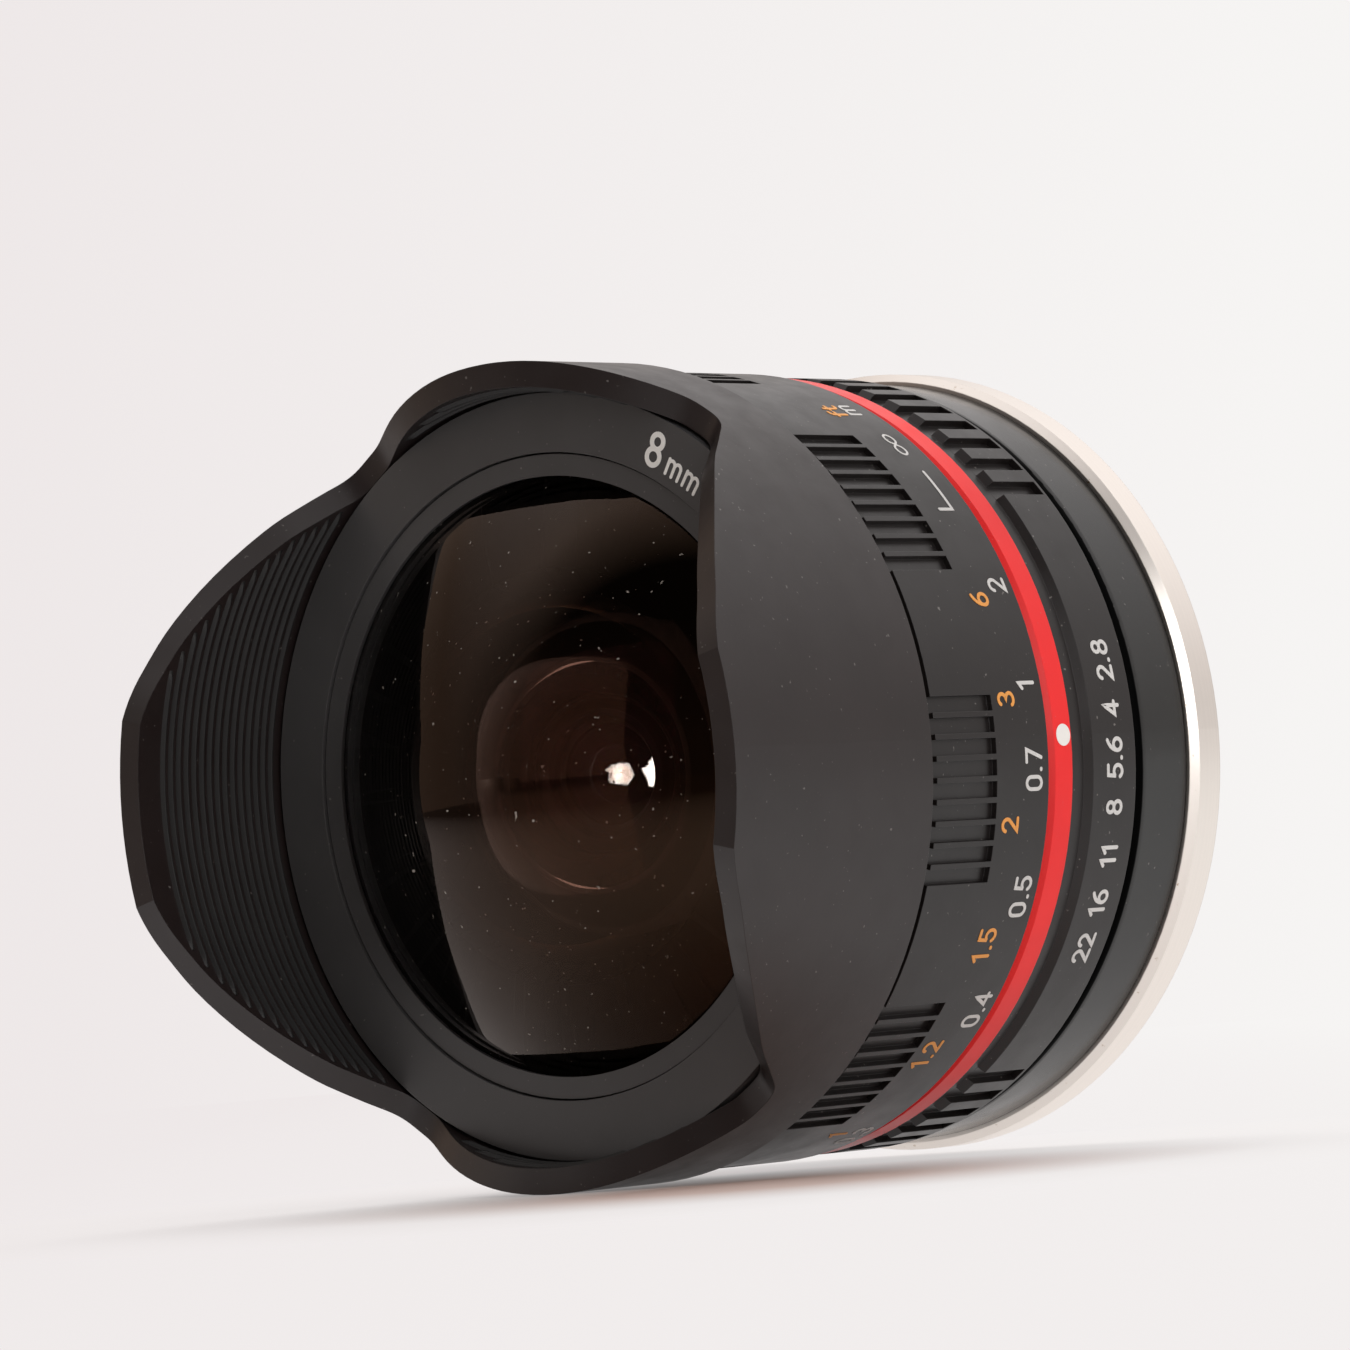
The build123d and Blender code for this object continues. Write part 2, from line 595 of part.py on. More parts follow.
def aperture_ring():
    hub_rear = REAR_BARREL_FRONT + END_PLAY
    body = turned(
        (APERTURE_BORE, hub_rear), (APERTURE_HUB_RADIUS, hub_rear), (APERTURE_HUB_RADIUS, APERTURE_REAR),
        (APERTURE_RADIUS, APERTURE_REAR), (APERTURE_RADIUS, APERTURE_BAND_FRONT),
        (APERTURE_LOW_RADIUS, APERTURE_SLOPE_FRONT), (APERTURE_LOW_RADIUS, APERTURE_FRONT),
        (APERTURE_BORE, APERTURE_FRONT),
    )
    depth = GROOVE_DEPTH + CUT_OVERRUN
    groove = Pos(APERTURE_LOW_RADIUS + depth / 2, 0) * Rectangle(depth, GROOVE_WIDTH)
    angles = [GROOVE_FIRST_ANGLE + GROOVE_TURN * number for number in range(GROOVE_COUNT)]
    grooves = Sketch() + [Rot(0, 0, angle) * groove for angle in angles]
    body -= prism(grooves, APERTURE_REAR + GROOVE_REAR_WALL, APERTURE_FRONT + CUT_OVERRUN)
    seat = axial_bar(
        LEVER_WIDTH + 2 * SEAT_GAP, APERTURE_BORE - CUT_OVERRUN,
        APERTURE_BORE + LEVER_SEAT_DEPTH + SEAT_GAP, LEVER_ANGLE, LEVER_REAR - SEAT_GAP,
        LEVER_FRONT + SEAT_GAP,
    )
    notch_circle = APERTURE_BORE + NOTCH_DEPTH - NOTCH_RADIUS
    turns = [OPEN_TURN - STOP_ANGLE * number for number in range(STOP_INTERVALS + 1)]
    notches = [
        axial_rod(
            NOTCH_RADIUS, notch_circle, BALL_ANGLE + turn,
            BALL_STATION - BALL_RADIUS, BALL_STATION + BALL_RADIUS,
        )
        for turn in turns
    ]
    return body - [seat, *notches]


def aperture_lever():
    """Arm fixed in the aperture ring, with the rod that pushes the iris fork."""
    outer = APERTURE_BORE + LEVER_SEAT_DEPTH
    arm = axial_bar(LEVER_WIDTH, LEVER_INNER, outer, LEVER_ANGLE, LEVER_REAR, LEVER_FRONT)
    rod_front = IRIS_FRONT + LEVER_ROD_END
    return arm + axial_rod(LEVER_ROD_RADIUS, LEVER_ROD_CIRCLE, LEVER_ANGLE, LEVER_REAR, rod_front)


def index_ring():
    bore = BARREL_COLLAR_RADIUS + SEAT_GAP
    body = turned(
        (bore, INDEX_REAR), (INDEX_RADIUS, INDEX_REAR), (INDEX_RADIUS, INDEX_FRONT - INDEX_BEVEL),
        (INDEX_RADIUS - INDEX_BEVEL, INDEX_FRONT), (bore, INDEX_FRONT),
    )
    return body - radial_rod(
        DOT_RADIUS, INDEX_RADIUS - DOT_DEPTH, INDEX_RADIUS + CUT_OVERRUN, DOT_STATION, 0
    )


def index_dot():
    return radial_rod(DOT_RADIUS, INDEX_RADIUS - DOT_DEPTH, INDEX_RADIUS + DOT_PROUD, DOT_STATION, 0)


def focus_ring():
    body = turned(
        (FOCUS_BORE, FOCUS_REAR), (FOCUS_RADIUS - FOCUS_REAR_CHAMFER, FOCUS_REAR),
        (FOCUS_RADIUS, FOCUS_REAR + FOCUS_REAR_CHAMFER), (FOCUS_RADIUS, FOCUS_FRONT),
        (FOCUS_BORE, FOCUS_FRONT),
    )
    depth = POCKET_DEPTH + CUT_OVERRUN
    place = Pos(FOCUS_RADIUS - POCKET_DEPTH + depth / 2, 0)
    pocket = place * Rectangle(depth, POCKET_WIDTH)
    middle = (POCKETS_IN_PATCH - 1) / 2
    angles = [
        patch + POCKET_TURN * (number - middle)
        for patch in spread(POCKET_PATCHES, POCKET_PATCH_CENTRE)
        for number in range(POCKETS_IN_PATCH)
    ]
    pockets = Sketch() + [Rot(0, 0, angle) * pocket for angle in angles]
    return body - prism(pockets, FOCUS_FRONT - POCKET_LENGTH, FOCUS_FRONT + CUT_OVERRUN)


def cam_groove(angle):
    """Blind helical groove that moves a roller by the focus travel over the whole turn."""
    inner = SLEEVE_BORE - CUT_OVERRUN
    outer = SLEEVE_BORE + CAM_DEPTH
    reach = ROLLER_RADIUS + RUN_GAP
    lead = FOCUS_TRAVEL * 360 / FOCUS_TURN
    path = Helix(lead, FOCUS_TRAVEL, (inner + outer) / 2, direction=(0, -1, 0), lefthand=True)
    start = path @ 0
    section = Plane(origin=start, x_dir=(start.X, 0, start.Z), z_dir=path % 0)
    channel = sweep(section * Rectangle(outer - inner, 2 * reach), path, is_frenet=True)
    far_angle = angle + FOCUS_TURN_TO_FAR
    far_station = ROLLER_STATION - TRAVEL_TO_FAR
    channel = Pos(0, -far_station, 0) * around(channel, far_angle - degrees(atan2(start.Z, start.X)))
    far_end = radial_rod(reach, inner, outer, far_station, far_angle)
    near_end = radial_rod(reach, inner, outer, far_station + FOCUS_TRAVEL, far_angle - FOCUS_TURN)
    return [channel, far_end, near_end]


def cam_sleeve():
    rear = BARREL_COLLAR_FRONT + END_PLAY
    body = ring(SLEEVE_BORE, SLEEVE_RADIUS, rear, HOOD_REAR - END_PLAY)
    for angle in spread(ROLLER_COUNT, ROLLER_START):
        body -= cam_groove(angle)
    side = degrees(asin((STOP_PIN_RADIUS + RUN_GAP) / STOP_PIN_CIRCLE))
    reach = STOP_PIN_RADIUS + STOP_PIN_ROOM
    track = arc_band(
        STOP_PIN_CIRCLE - reach - CUT_OVERRUN, STOP_PIN_CIRCLE + reach + CUT_OVERRUN,
        STOP_PIN_ANGLE - FOCUS_TURN_TO_NEAR - side, FOCUS_TURN + 2 * side,
    )
    depth = STOP_PIN_LENGTH - STOP_PIN_SEAT_DEPTH + STOP_PIN_ROOM
    return body - prism(track, rear - CUT_OVERRUN, BARREL_COLLAR_FRONT + depth)


def roller_set():
    seat = CELL_RADIUS + SEAT_GAP
    rollers = []
    for angle in spread(ROLLER_COUNT, ROLLER_START):
        roller = radial_rod(ROLLER_RADIUS, seat, ROLLER_TOP, ROLLER_STATION, angle)
        roller -= radial_rod(ROLLER_BORE, seat, ROLLER_TOP, ROLLER_STATION, angle)
        head_seat = ROLLER_TOP - ROLLER_HEAD_ROOM_DEPTH
        roller -= radial_rod(ROLLER_HEAD_ROOM_RADIUS, head_seat, ROLLER_TOP, ROLLER_STATION, angle)
        rollers.append(roller)
    return rollers


def roller_screw_set(room=0.0):
    """Screws that hold the rollers, or with room their holes in the cell."""
    neck = ROLLER_TOP - ROLLER_HEAD_ROOM_DEPTH
    screws = []
    for angle in spread(ROLLER_COUNT, ROLLER_START):
        shank = radial_rod(
            ROLLER_SCREW_RADIUS + room, CELL_CUP_BORE - room, neck, ROLLER_STATION, angle
        )
        head_top = neck + ROLLER_SCREW_HEAD_HEIGHT
        head = radial_rod(ROLLER_SCREW_HEAD_RADIUS, neck, head_top, ROLLER_STATION, angle)
        screws.append(shank + head)
    return screws


def rim_curve(radius):
    """Closed line of the rim at a radius: the quarter and its three mirror images."""
    half = [*RIM_SHARES, *((180 - angle, share) for angle, share in RIM_SHARES[-2::-1])]
    whole = [*half, *((360 - angle, share) for angle, share in half[-2:0:-1])]
    height = HOOD_TIP - HOOD_VALLEY
    points = [
        (radius * cos(radians(angle)), -HOOD_VALLEY - height * share, radius * sin(radians(angle)))
        for angle, share in whole
    ]
    return Spline(points, periodic=True).edge()


def petal_hood():
    """Tube whose rim waves from the tips of two long petals to two short ones."""
    floor_bore = RETAINER_RADIUS + HOOD_FLOOR_BORE_ROOM
    seat = BARREL_FOCUS_RADIUS + SEAT_GAP
    floor = BARREL_FRONT + SEAT_GAP
    tube = turned(
        (seat, HOOD_REAR), (HOOD_RADIUS - HOOD_REAR_CHAMFER, HOOD_REAR),
        (HOOD_RADIUS, HOOD_REAR + HOOD_REAR_CHAMFER), (HOOD_RADIUS, HOOD_TIP),
        (HOOD_BORE, HOOD_TIP), (HOOD_BORE, HOOD_FLOOR_FRONT),
        (floor_bore, HOOD_FLOOR_FRONT), (floor_bore, floor), (seat, floor),
    )
    inner = rim_curve(HOOD_BORE - CUT_OVERRUN)
    rim = Face.make_surface_from_curves(inner, rim_curve(HOOD_RADIUS + CUT_OVERRUN))
    return tube - extrude(rim, HOOD_DEPTH + CUT_OVERRUN, dir=(0, -1, 0))


def name_ring():
    bore = RETAINER_RADIUS + NAME_RING_ROOM
    return ring(bore, NAME_RING_RADIUS, HOOD_FLOOR_FRONT, HOOD_FLOOR_FRONT + NAME_RING_THICKNESS)


def retaining_ring():
    """Cap on the front cell whose lip holds the rim of the front glass."""
    lip = FRONT_VERTEX - sag(LENS_1_FRONT_CURVE, RETAINER_BORE) + SEAT_GAP
    thread = CELL_RADIUS + SEAT_GAP
    rear = RETAINER_FRONT - RETAINER_LENGTH
    return turned(
        (thread, rear), (RETAINER_RADIUS, rear), (RETAINER_RADIUS, RETAINER_FRONT),
        (RETAINER_BORE, RETAINER_FRONT), (RETAINER_BORE, lip), (thread, lip),
    )


def element(vertex, front_curve, thickness, rear_curve, rim, rear_clear=None):
    """Glass element turned from its two curves, with a flat ledge outside its rear curve."""
    clear = rim if rear_clear is None else rear_clear
    rear_vertex = vertex - thickness

    def front(height):
        return (height, sag(front_curve, height) - vertex)

    def rear(height):
        return (height, sag(rear_curve, height) - rear_vertex)

    side = [front(rim), (rim, rear(clear)[1])]
    if clear < rim:
        side.append(rear(clear))
    outline = Curve() + [
        ThreePointArc(front(0), front(rim / 2), front(rim)),
        Polyline(side),
        ThreePointArc(rear(clear), rear(clear / 2), rear(0)),
        Line(rear(0), front(0)),
    ]
    return revolve(make_face(outline.edges()), Axis.Y)


def elements():
    return [
        element(
            FRONT_VERTEX, LENS_1_FRONT_CURVE, LENS_1_THICKNESS, LENS_1_REAR_CURVE,
            LENS_1_RIM, LENS_1_REAR_CLEAR,
        ),
        element(
            VERTEX_2, LENS_2_FRONT_CURVE, LENS_2_THICKNESS, LENS_2_REAR_CURVE,
            LENS_2_RIM, LENS_2_REAR_CLEAR,
        ),
        element(
            VERTEX_3, LENS_3_FRONT_CURVE, LENS_3_THICKNESS, LENS_3_REAR_CURVE,
            LENS_3_RIM, LENS_3_REAR_CLEAR,
        ),
        element(VERTEX_4, LENS_4_FRONT_CURVE, LENS_4_THICKNESS, CEMENT_4_5_CURVE, LENS_4_5_RIM),
        element(VERTEX_5, CEMENT_4_5_CURVE, LENS_5_THICKNESS, LENS_5_REAR_CURVE, LENS_4_5_RIM),
        element(VERTEX_6, LENS_6_FRONT_CURVE, LENS_6_THICKNESS, CEMENT_6_7_CURVE, LENS_6_7_RIM),
        element(VERTEX_7, CEMENT_6_7_CURVE, LENS_7_THICKNESS, LENS_7_REAR_CURVE, LENS_6_7_RIM),
        element(VERTEX_8, LENS_8_FRONT_CURVE, LENS_8_THICKNESS, LENS_8_REAR_CURVE, LENS_8_RIM),
        element(VERTEX_9, LENS_9_FRONT_CURVE, LENS_9_THICKNESS, CEMENT_9_10_CURVE, LENS_9_10_RIM),
        element(VERTEX_10, CEMENT_9_10_CURVE, LENS_10_THICKNESS, LENS_10_REAR_CURVE, LENS_9_10_RIM),
        element(VERTEX_11, LENS_11_FRONT_CURVE, LENS_11_THICKNESS, LENS_11_REAR_CURVE, LENS_11_RIM),
    ]


def spacer(rim, front_vertex, front_curve, rear_vertex, rear_curve):
    """Ring between two glass surfaces, each given by its vertex and curve."""
    bore = rim - SPACER_WALL
    front = front_vertex - sag(front_curve, bore)
    rear = rear_vertex - sag(rear_curve, bore)
    return ring(bore, rim, rear + SEAT_GAP, front - SEAT_GAP)


def spacers():
    return [
        spacer(LENS_3_RIM, SEAT_2, FLAT, VERTEX_3, LENS_3_FRONT_CURVE),
        spacer(LENS_4_5_RIM, SEAT_3, FLAT, VERTEX_4, LENS_4_FRONT_CURVE),
        spacer(
            LENS_6_7_RIM, VERTEX_7 - LENS_7_THICKNESS, LENS_7_REAR_CURVE, VERTEX_8, LENS_8_FRONT_CURVE
        ),
        spacer(
            LENS_8_RIM, VERTEX_8 - LENS_8_THICKNESS, LENS_8_REAR_CURVE, VERTEX_9, LENS_9_FRONT_CURVE
        ),
        spacer(
            LENS_9_10_RIM, VERTEX_10 - LENS_10_THICKNESS, LENS_10_REAR_CURVE,
            VERTEX_11, LENS_11_FRONT_CURVE,
        ),
    ]


def rear_retaining_ring():
    bore = LENS_11_RIM - SPACER_WALL
    front = VERTEX_11 - LENS_11_THICKNESS - sag(LENS_11_REAR_CURVE, bore) - SEAT_GAP
    return ring(bore, LENS_11_RIM, front - REAR_RETAINER_WIDTH, front)


def front_cell():
    bore_1 = LENS_1_RIM + SEAT_GAP
    bore_2 = LENS_2_RIM + SEAT_GAP
    bore_3 = LENS_3_RIM + SEAT_GAP
    bore_4 = LENS_4_5_RIM + SEAT_GAP
    top = FRONT_VERTEX - sag(LENS_1_FRONT_CURVE, LENS_1_RIM) - CELL_WALL_LIP
    shelf = SEAT_1 - CELL_SHELF_THICKNESS
    body = turned(
        (bore_1, top), (bore_1, SEAT_1), (bore_2, SEAT_1), (bore_2, SEAT_2), (bore_3, SEAT_2),
        (bore_3, SEAT_3), (bore_4, SEAT_3), (bore_4, SEAT_5), (CELL_WEB_BORE, SEAT_5),
        (CELL_WEB_BORE, IRIS_FRONT), (IRIS_HOUSING_BORE, IRIS_FRONT),
        (IRIS_HOUSING_BORE, BASE_PLATE_REAR), (CELL_TUBE_RADIUS, BASE_PLATE_REAR),
        (CELL_TUBE_RADIUS, shelf), (CELL_CUP_BORE, shelf), (CELL_CUP_BORE, CELL_CUP_REAR),
        (CELL_RADIUS, CELL_CUP_REAR), (CELL_RADIUS, top),
    )
    side = degrees(asin((FORK_WIDTH / 2 + LEVER_SLOT_ROOM) / IRIS_HOUSING_BORE))
    start = LEVER_ANGLE - OPEN_TURN - side
    end = LEVER_ANGLE - CLOSED_TURN + side
    window = arc_band(
        IRIS_HOUSING_BORE - CUT_OVERRUN, CELL_TUBE_RADIUS + CUT_OVERRUN, start, end - start
    )
    cuts = [prism(window, CAM_RING_REAR - LEVER_SLOT_ROOM, IRIS_FRONT)]
    return body - cuts - roller_screw_set(SEAT_GAP) - cell_screw_set(SEAT_GAP)


def rear_cell():
    bore_6 = LENS_6_7_RIM + SEAT_GAP
    bore_8 = LENS_8_RIM + SEAT_GAP
    bore_9 = LENS_9_10_RIM + SEAT_GAP
    bore_11 = LENS_11_RIM + SEAT_GAP
    seat_8 = VERTEX_8 - sag(LENS_8_FRONT_CURVE, bore_6) + SEAT_GAP
    seat_9 = VERTEX_9 - sag(LENS_9_FRONT_CURVE, bore_8) + SEAT_GAP
    seat_11 = VERTEX_11 - sag(LENS_11_FRONT_CURVE, bore_9) + SEAT_GAP
    flange_rear = BASE_PLATE_REAR - REAR_CELL_FLANGE
    body = turned(
        (REAR_CELL_LIP_BORE, BASE_PLATE_REAR), (CELL_TUBE_RADIUS, BASE_PLATE_REAR),
        (CELL_TUBE_RADIUS, flange_rear), (REAR_CELL_RADIUS, flange_rear),
        (REAR_CELL_RADIUS, REAR_CELL_END), (bore_11, REAR_CELL_END), (bore_11, seat_11),
        (bore_9, seat_11), (bore_9, seat_9), (bore_8, seat_9), (bore_8, seat_8), (bore_6, seat_8),
        (bore_6, SEAT_6), (REAR_CELL_LIP_BORE, SEAT_6),
    )
    return body - cell_screw_set(SEAT_GAP)


def cell_screw_set(room=0.0):
    """Screws that join the two cells, or with room their holes."""
    rear = BASE_PLATE_REAR - REAR_CELL_FLANGE
    screws = []
    for angle in spread(CELL_SCREW_COUNT, CELL_SCREW_START):
        screw = axial_rod(
            CELL_SCREW_RADIUS + room, CELL_SCREW_CIRCLE, angle, rear,
            BASE_PLATE_REAR + CELL_SCREW_DEPTH + room,
        )
        screw += axial_rod(
            CELL_SCREW_HEAD_RADIUS, CELL_SCREW_CIRCLE, angle, rear - CELL_SCREW_HEAD_HEIGHT, rear
        )
        screws.append(screw)
    return screws


def drive_stud_place(swing):
    """Centre of a blade's drive stud at a swing, for a blade whose pivot is at angle 0."""
    turn = radians(swing - 90 - BLADE_SWING / 2)
    return Vector(PIVOT_CIRCLE + DRIVE_ARM * cos(turn), DRIVE_ARM * sin(turn))


def cam_slot():
    """Slot of the cam ring, along the drive stud's path as the ring turns from open to closed."""
    path = []
    for share in (0, 0.5, 1):
        turn = OPEN_TURN - share * STOP_ANGLE * STOP_INTERVALS
        path.append(drive_stud_place(share * BLADE_SWING).rotate(Axis.Z, turn))
    return SlotArc(ThreePointArc(*path), 2 * (STUD_RADIUS + SLOT_ROOM))


def iris_cam_ring():
    front = CAM_RING_REAR + CAM_RING_THICKNESS
    body = ring(CAM_RING_BORE, IRIS_HOUSING_BORE - RUN_GAP, CAM_RING_REAR, front)
    inner = IRIS_HOUSING_BORE - CUT_OVERRUN
    fork = axial_bar(FORK_WIDTH, inner, FORK_OUTER, LEVER_ANGLE, CAM_RING_REAR, front)
    opening = axial_bar(
        2 * (LEVER_ROD_RADIUS + FORK_ROOM), FORK_OUTER - FORK_SLOT_DEPTH, FORK_OUTER + CUT_OVERRUN,
        LEVER_ANGLE, CAM_RING_REAR, front,
    )
    slots = Sketch() + [Rot(0, 0, angle) * cam_slot() for angle in spread(BLADE_COUNT)]
    return body + fork - opening - prism(slots, CAM_RING_REAR, front)


def iris_blade(number):
    """Crescent blade with its ear, a pivot stud to the rear and a drive stud to the front."""
    pivot = Pos(PIVOT_CIRCLE, 0)
    drive = drive_stud_place(0)
    ear = make_hull(
        [*(pivot * Circle(BLADE_EAR_RADIUS)).edges(), *(Pos(drive) * Circle(BLADE_ARM_END_RADIUS)).edges()]
    )
    neck_turn = radians(BLADE_NECK_ANGLE)
    neck_end = (BLADE_NECK_CIRCLE * cos(neck_turn), BLADE_NECK_CIRCLE * sin(neck_turn))
    middle = ((PIVOT_CIRCLE + neck_end[0]) / 2, neck_end[1] / 2)
    neck = SlotCenterPoint(middle, (PIVOT_CIRCLE, 0), BLADE_NECK_WIDTH)
    sheet = arc_band(IRIS_OPEN_RADIUS, BLADE_OUTER, 0, BLADE_SPAN) + ear + neck
    place = Rot(0, 0, 360 * number / BLADE_COUNT) * pivot * Rot(0, 0, REST_SWING) * Pos(-PIVOT_CIRCLE, 0)
    front = CAM_RING_REAR - BLADE_GAP - number * BLADE_STEP
    rear = front - BLADE_THICKNESS
    blade = prism(place * sheet, rear, front)
    blade += prism(place * pivot * Circle(STUD_RADIUS), BASE_PLATE_FRONT - STUD_DEPTH, front)
    return blade + prism(place * Pos(drive) * Circle(STUD_RADIUS), rear, CAM_RING_REAR + STUD_DEPTH)


def iris_base_plate():
    outer = IRIS_HOUSING_BORE - SEAT_GAP
    plate = ring(IRIS_OPEN_RADIUS, outer, BASE_PLATE_REAR, BASE_PLATE_FRONT)
    return plate - [
        axial_rod(STUD_RADIUS + RUN_GAP, PIVOT_CIRCLE, angle, BASE_PLATE_REAR, BASE_PLATE_FRONT)
        for angle in spread(BLADE_COUNT)
    ]


save(petal_hood(), "petal_hood")
save(name_ring(), "name_ring")
save(focus_ring(), "focus_ring")
save(cam_sleeve(), "cam_sleeve")
save(index_ring(), "index_ring")
save(index_dot(), "index_dot")
save(aperture_ring(), "aperture_ring")
save(aperture_lever(), "aperture_lever")
save(main_barrel(), "main_barrel")
save(click_ball(), "click_ball")
save(click_spring(), "click_spring")
save(stop_pin(), "focus_stop_pin")
save(rear_barrel(), "rear_barrel")
save(silver_ring(), "silver_ring")
save(mount_plate(), "mount_plate")
save_group(mount_screw_set(0), "mount_screws")
save(rear_baffle(), "rear_baffle")
save(front_cell(), "front_cell")
save(retaining_ring(), "front_retaining_ring")
save(rear_cell(), "rear_cell")
save(rear_retaining_ring(), "rear_retaining_ring")
save_group(cell_screw_set(), "cell_screws")
save_group(roller_set(), "cam_rollers")
save_group(roller_screw_set(), "roller_screws")
for number, glass in enumerate(elements(), 1):
    save(glass, f"lens_element_{number:02d}")
for number, tube in enumerate(spacers(), 1):
    save(tube, f"spacer_{number}")
save(iris_base_plate(), "iris_base_plate")
save(iris_cam_ring(), "iris_cam_ring")
for number in range(BLADE_COUNT):
    save(iris_blade(number), f"iris_blade_{number + 1}")
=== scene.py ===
import json
from math import ceil, cos, hypot, pi, radians, sin

import bmesh
import bpy
from mathutils import Matrix, Vector
from mathutils.bvhtree import BVHTree

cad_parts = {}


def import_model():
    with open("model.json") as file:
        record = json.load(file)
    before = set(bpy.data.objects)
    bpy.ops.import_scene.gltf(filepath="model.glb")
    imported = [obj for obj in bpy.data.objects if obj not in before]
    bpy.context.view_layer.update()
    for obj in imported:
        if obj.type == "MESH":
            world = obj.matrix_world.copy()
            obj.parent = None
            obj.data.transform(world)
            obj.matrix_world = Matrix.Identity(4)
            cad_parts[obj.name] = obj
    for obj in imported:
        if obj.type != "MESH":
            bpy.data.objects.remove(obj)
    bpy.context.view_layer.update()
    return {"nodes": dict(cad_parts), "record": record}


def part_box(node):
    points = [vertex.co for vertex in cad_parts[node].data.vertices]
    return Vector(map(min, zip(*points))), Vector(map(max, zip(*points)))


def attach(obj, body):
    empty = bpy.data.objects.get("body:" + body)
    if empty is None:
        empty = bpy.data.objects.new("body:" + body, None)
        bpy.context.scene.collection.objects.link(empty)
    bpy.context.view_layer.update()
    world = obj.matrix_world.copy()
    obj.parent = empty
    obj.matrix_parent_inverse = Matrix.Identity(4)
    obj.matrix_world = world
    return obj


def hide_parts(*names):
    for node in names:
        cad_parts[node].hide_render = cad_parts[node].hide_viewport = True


# Looks of the fisheye lens. Lengths below are millimetres and are turned to metres by MM.
# The optical axis is Y, and -Y is the front. A station is a distance in front of the mount flange.
# Angles go round the axis from +X, where the index dot is, towards +Z.

MM = 0.001

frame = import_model()


def node_radius(node):
    """Outer radius of a turned node, in millimetres."""
    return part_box(node)[1].x / MM


def node_front(node):
    """Station of a node's front end."""
    return -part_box(node)[0].y / MM


# Node materials. Noise scales are in features per metre, and most looks share these values.
PATCH_SCALE = 90
SHEEN_SCALE = 350
DUST_SCALE = 2600
DUST_COLOUR = (0.35, 0.33, 0.31, 1)
PAINT_RELIEF = 0.02
WEAR_SCALE = 1500
TURNED_SHADE_SHARE = 0.92
TURNED_RELIEF = 0.01
BEVEL_SAMPLES = 4
GLASS_INDEX = 1.5
POWDER_SCALE = 2300
POWDER_COLOUR = (0.55, 0.5, 0.45, 1)
EDGE_BLEND = 0.1
EDGE_EXTRA_ROUGHNESS = 0.3


def material(name):
    made = bpy.data.materials.new(name)
    made.use_nodes = True
    nodes = made.node_tree.nodes
    return made, nodes, made.node_tree.links, nodes["Principled BSDF"]


def maths(nodes, links, operation, first, second=None, clamp=False):
    """One math node; its inputs are numbers or sockets."""
    node = nodes.new("ShaderNodeMath")
    node.operation = operation
    node.use_clamp = clamp
    for socket, value in zip(node.inputs, (first, second)):
        if isinstance(value, (int, float)):
            socket.default_value = value
        elif value is not None:
            links.new(value, socket)
    return node.outputs[0]


def place(nodes):
    return nodes.new("ShaderNodeTexCoord").outputs["Object"]


def axes(nodes, links, vector):
    """The x, y and z of a vector."""
    split = nodes.new("ShaderNodeSeparateXYZ")
    links.new(vector, split.inputs[0])
    return split.outputs


def compared(nodes, links, operation, vector, other):
    """Dot product with a direction, or distance from a spot."""
    node = nodes.new("ShaderNodeVectorMath")
    node.operation = operation
    links.new(vector, node.inputs[0])
    node.inputs[1].default_value = other
    return node.outputs["Value"]


def noise(nodes, links, vector, scale, detail=3.0, roughness=0.55):
    node = nodes.new("ShaderNodeTexNoise")
    node.inputs["Scale"].default_value = scale
    node.inputs["Detail"].default_value = detail
    node.inputs["Roughness"].default_value = roughness
    links.new(vector, node.inputs["Vector"])
    return node.outputs["Fac"]


def spread_to(nodes, links, value, low, high, low_out, high_out):
    """Value taken from the span low to high to the span low_out to high_out, and kept inside it."""
    node = nodes.new("ShaderNodeMapRange")
    links.new(value, node.inputs["Value"])
    for name, number in (
        ("From Min", low), ("From Max", high), ("To Min", low_out), ("To Max", high_out),
    ):
        node.inputs[name].default_value = number
    return node.outputs["Result"]


def mixed(nodes, links, share, first, second):
    """Colour mix; each colour is a tuple or a socket."""
    node = nodes.new("ShaderNodeMix")
    node.data_type = "RGBA"
    links.new(share, node.inputs["Factor"])
    for socket, value in ((node.inputs[6], first), (node.inputs[7], second)):
        if isinstance(value, tuple):
            socket.default_value = value
        else:
            links.new(value, socket)
    return node.outputs[2]


def blended(nodes, links, share, first, second):
    """Shader that goes from the first to the second as share goes from 0 to 1."""
    both = nodes.new("ShaderNodeMixShader")
    for socket, value in zip(both.inputs, (share, first, second)):
        links.new(value, socket)
    return both.outputs[0]


def around_axis(nodes, links):
    """Coordinates that stay alike round the optical axis, (radius, y, 0), and y by itself."""
    x, y, z = axes(nodes, links, place(nodes))
    squares = [maths(nodes, links, "MULTIPLY", side, side) for side in (x, z)]
    radius = maths(nodes, links, "SQRT", maths(nodes, links, "ADD", *squares))
    joined = nodes.new("ShaderNodeCombineXYZ")
    links.new(radius, joined.inputs[0])
    links.new(y, joined.inputs[1])
    return joined.outputs[0], y


def relief(nodes, links, bsdf, height, strength, distance, edge_round):
    """Bump over edges that are softened by a small radius."""
    soft = nodes.new("ShaderNodeBevel")
    soft.samples = BEVEL_SAMPLES
    soft.inputs["Radius"].default_value = edge_round * MM
    bump = nodes.new("ShaderNodeBump")
    bump.inputs["Strength"].default_value = strength
    bump.inputs["Distance"].default_value = distance * MM
    links.new(height, bump.inputs["Height"])
    links.new(soft.outputs[0], bump.inputs["Normal"])
    links.new(bump.outputs[0], bsdf.inputs["Normal"])


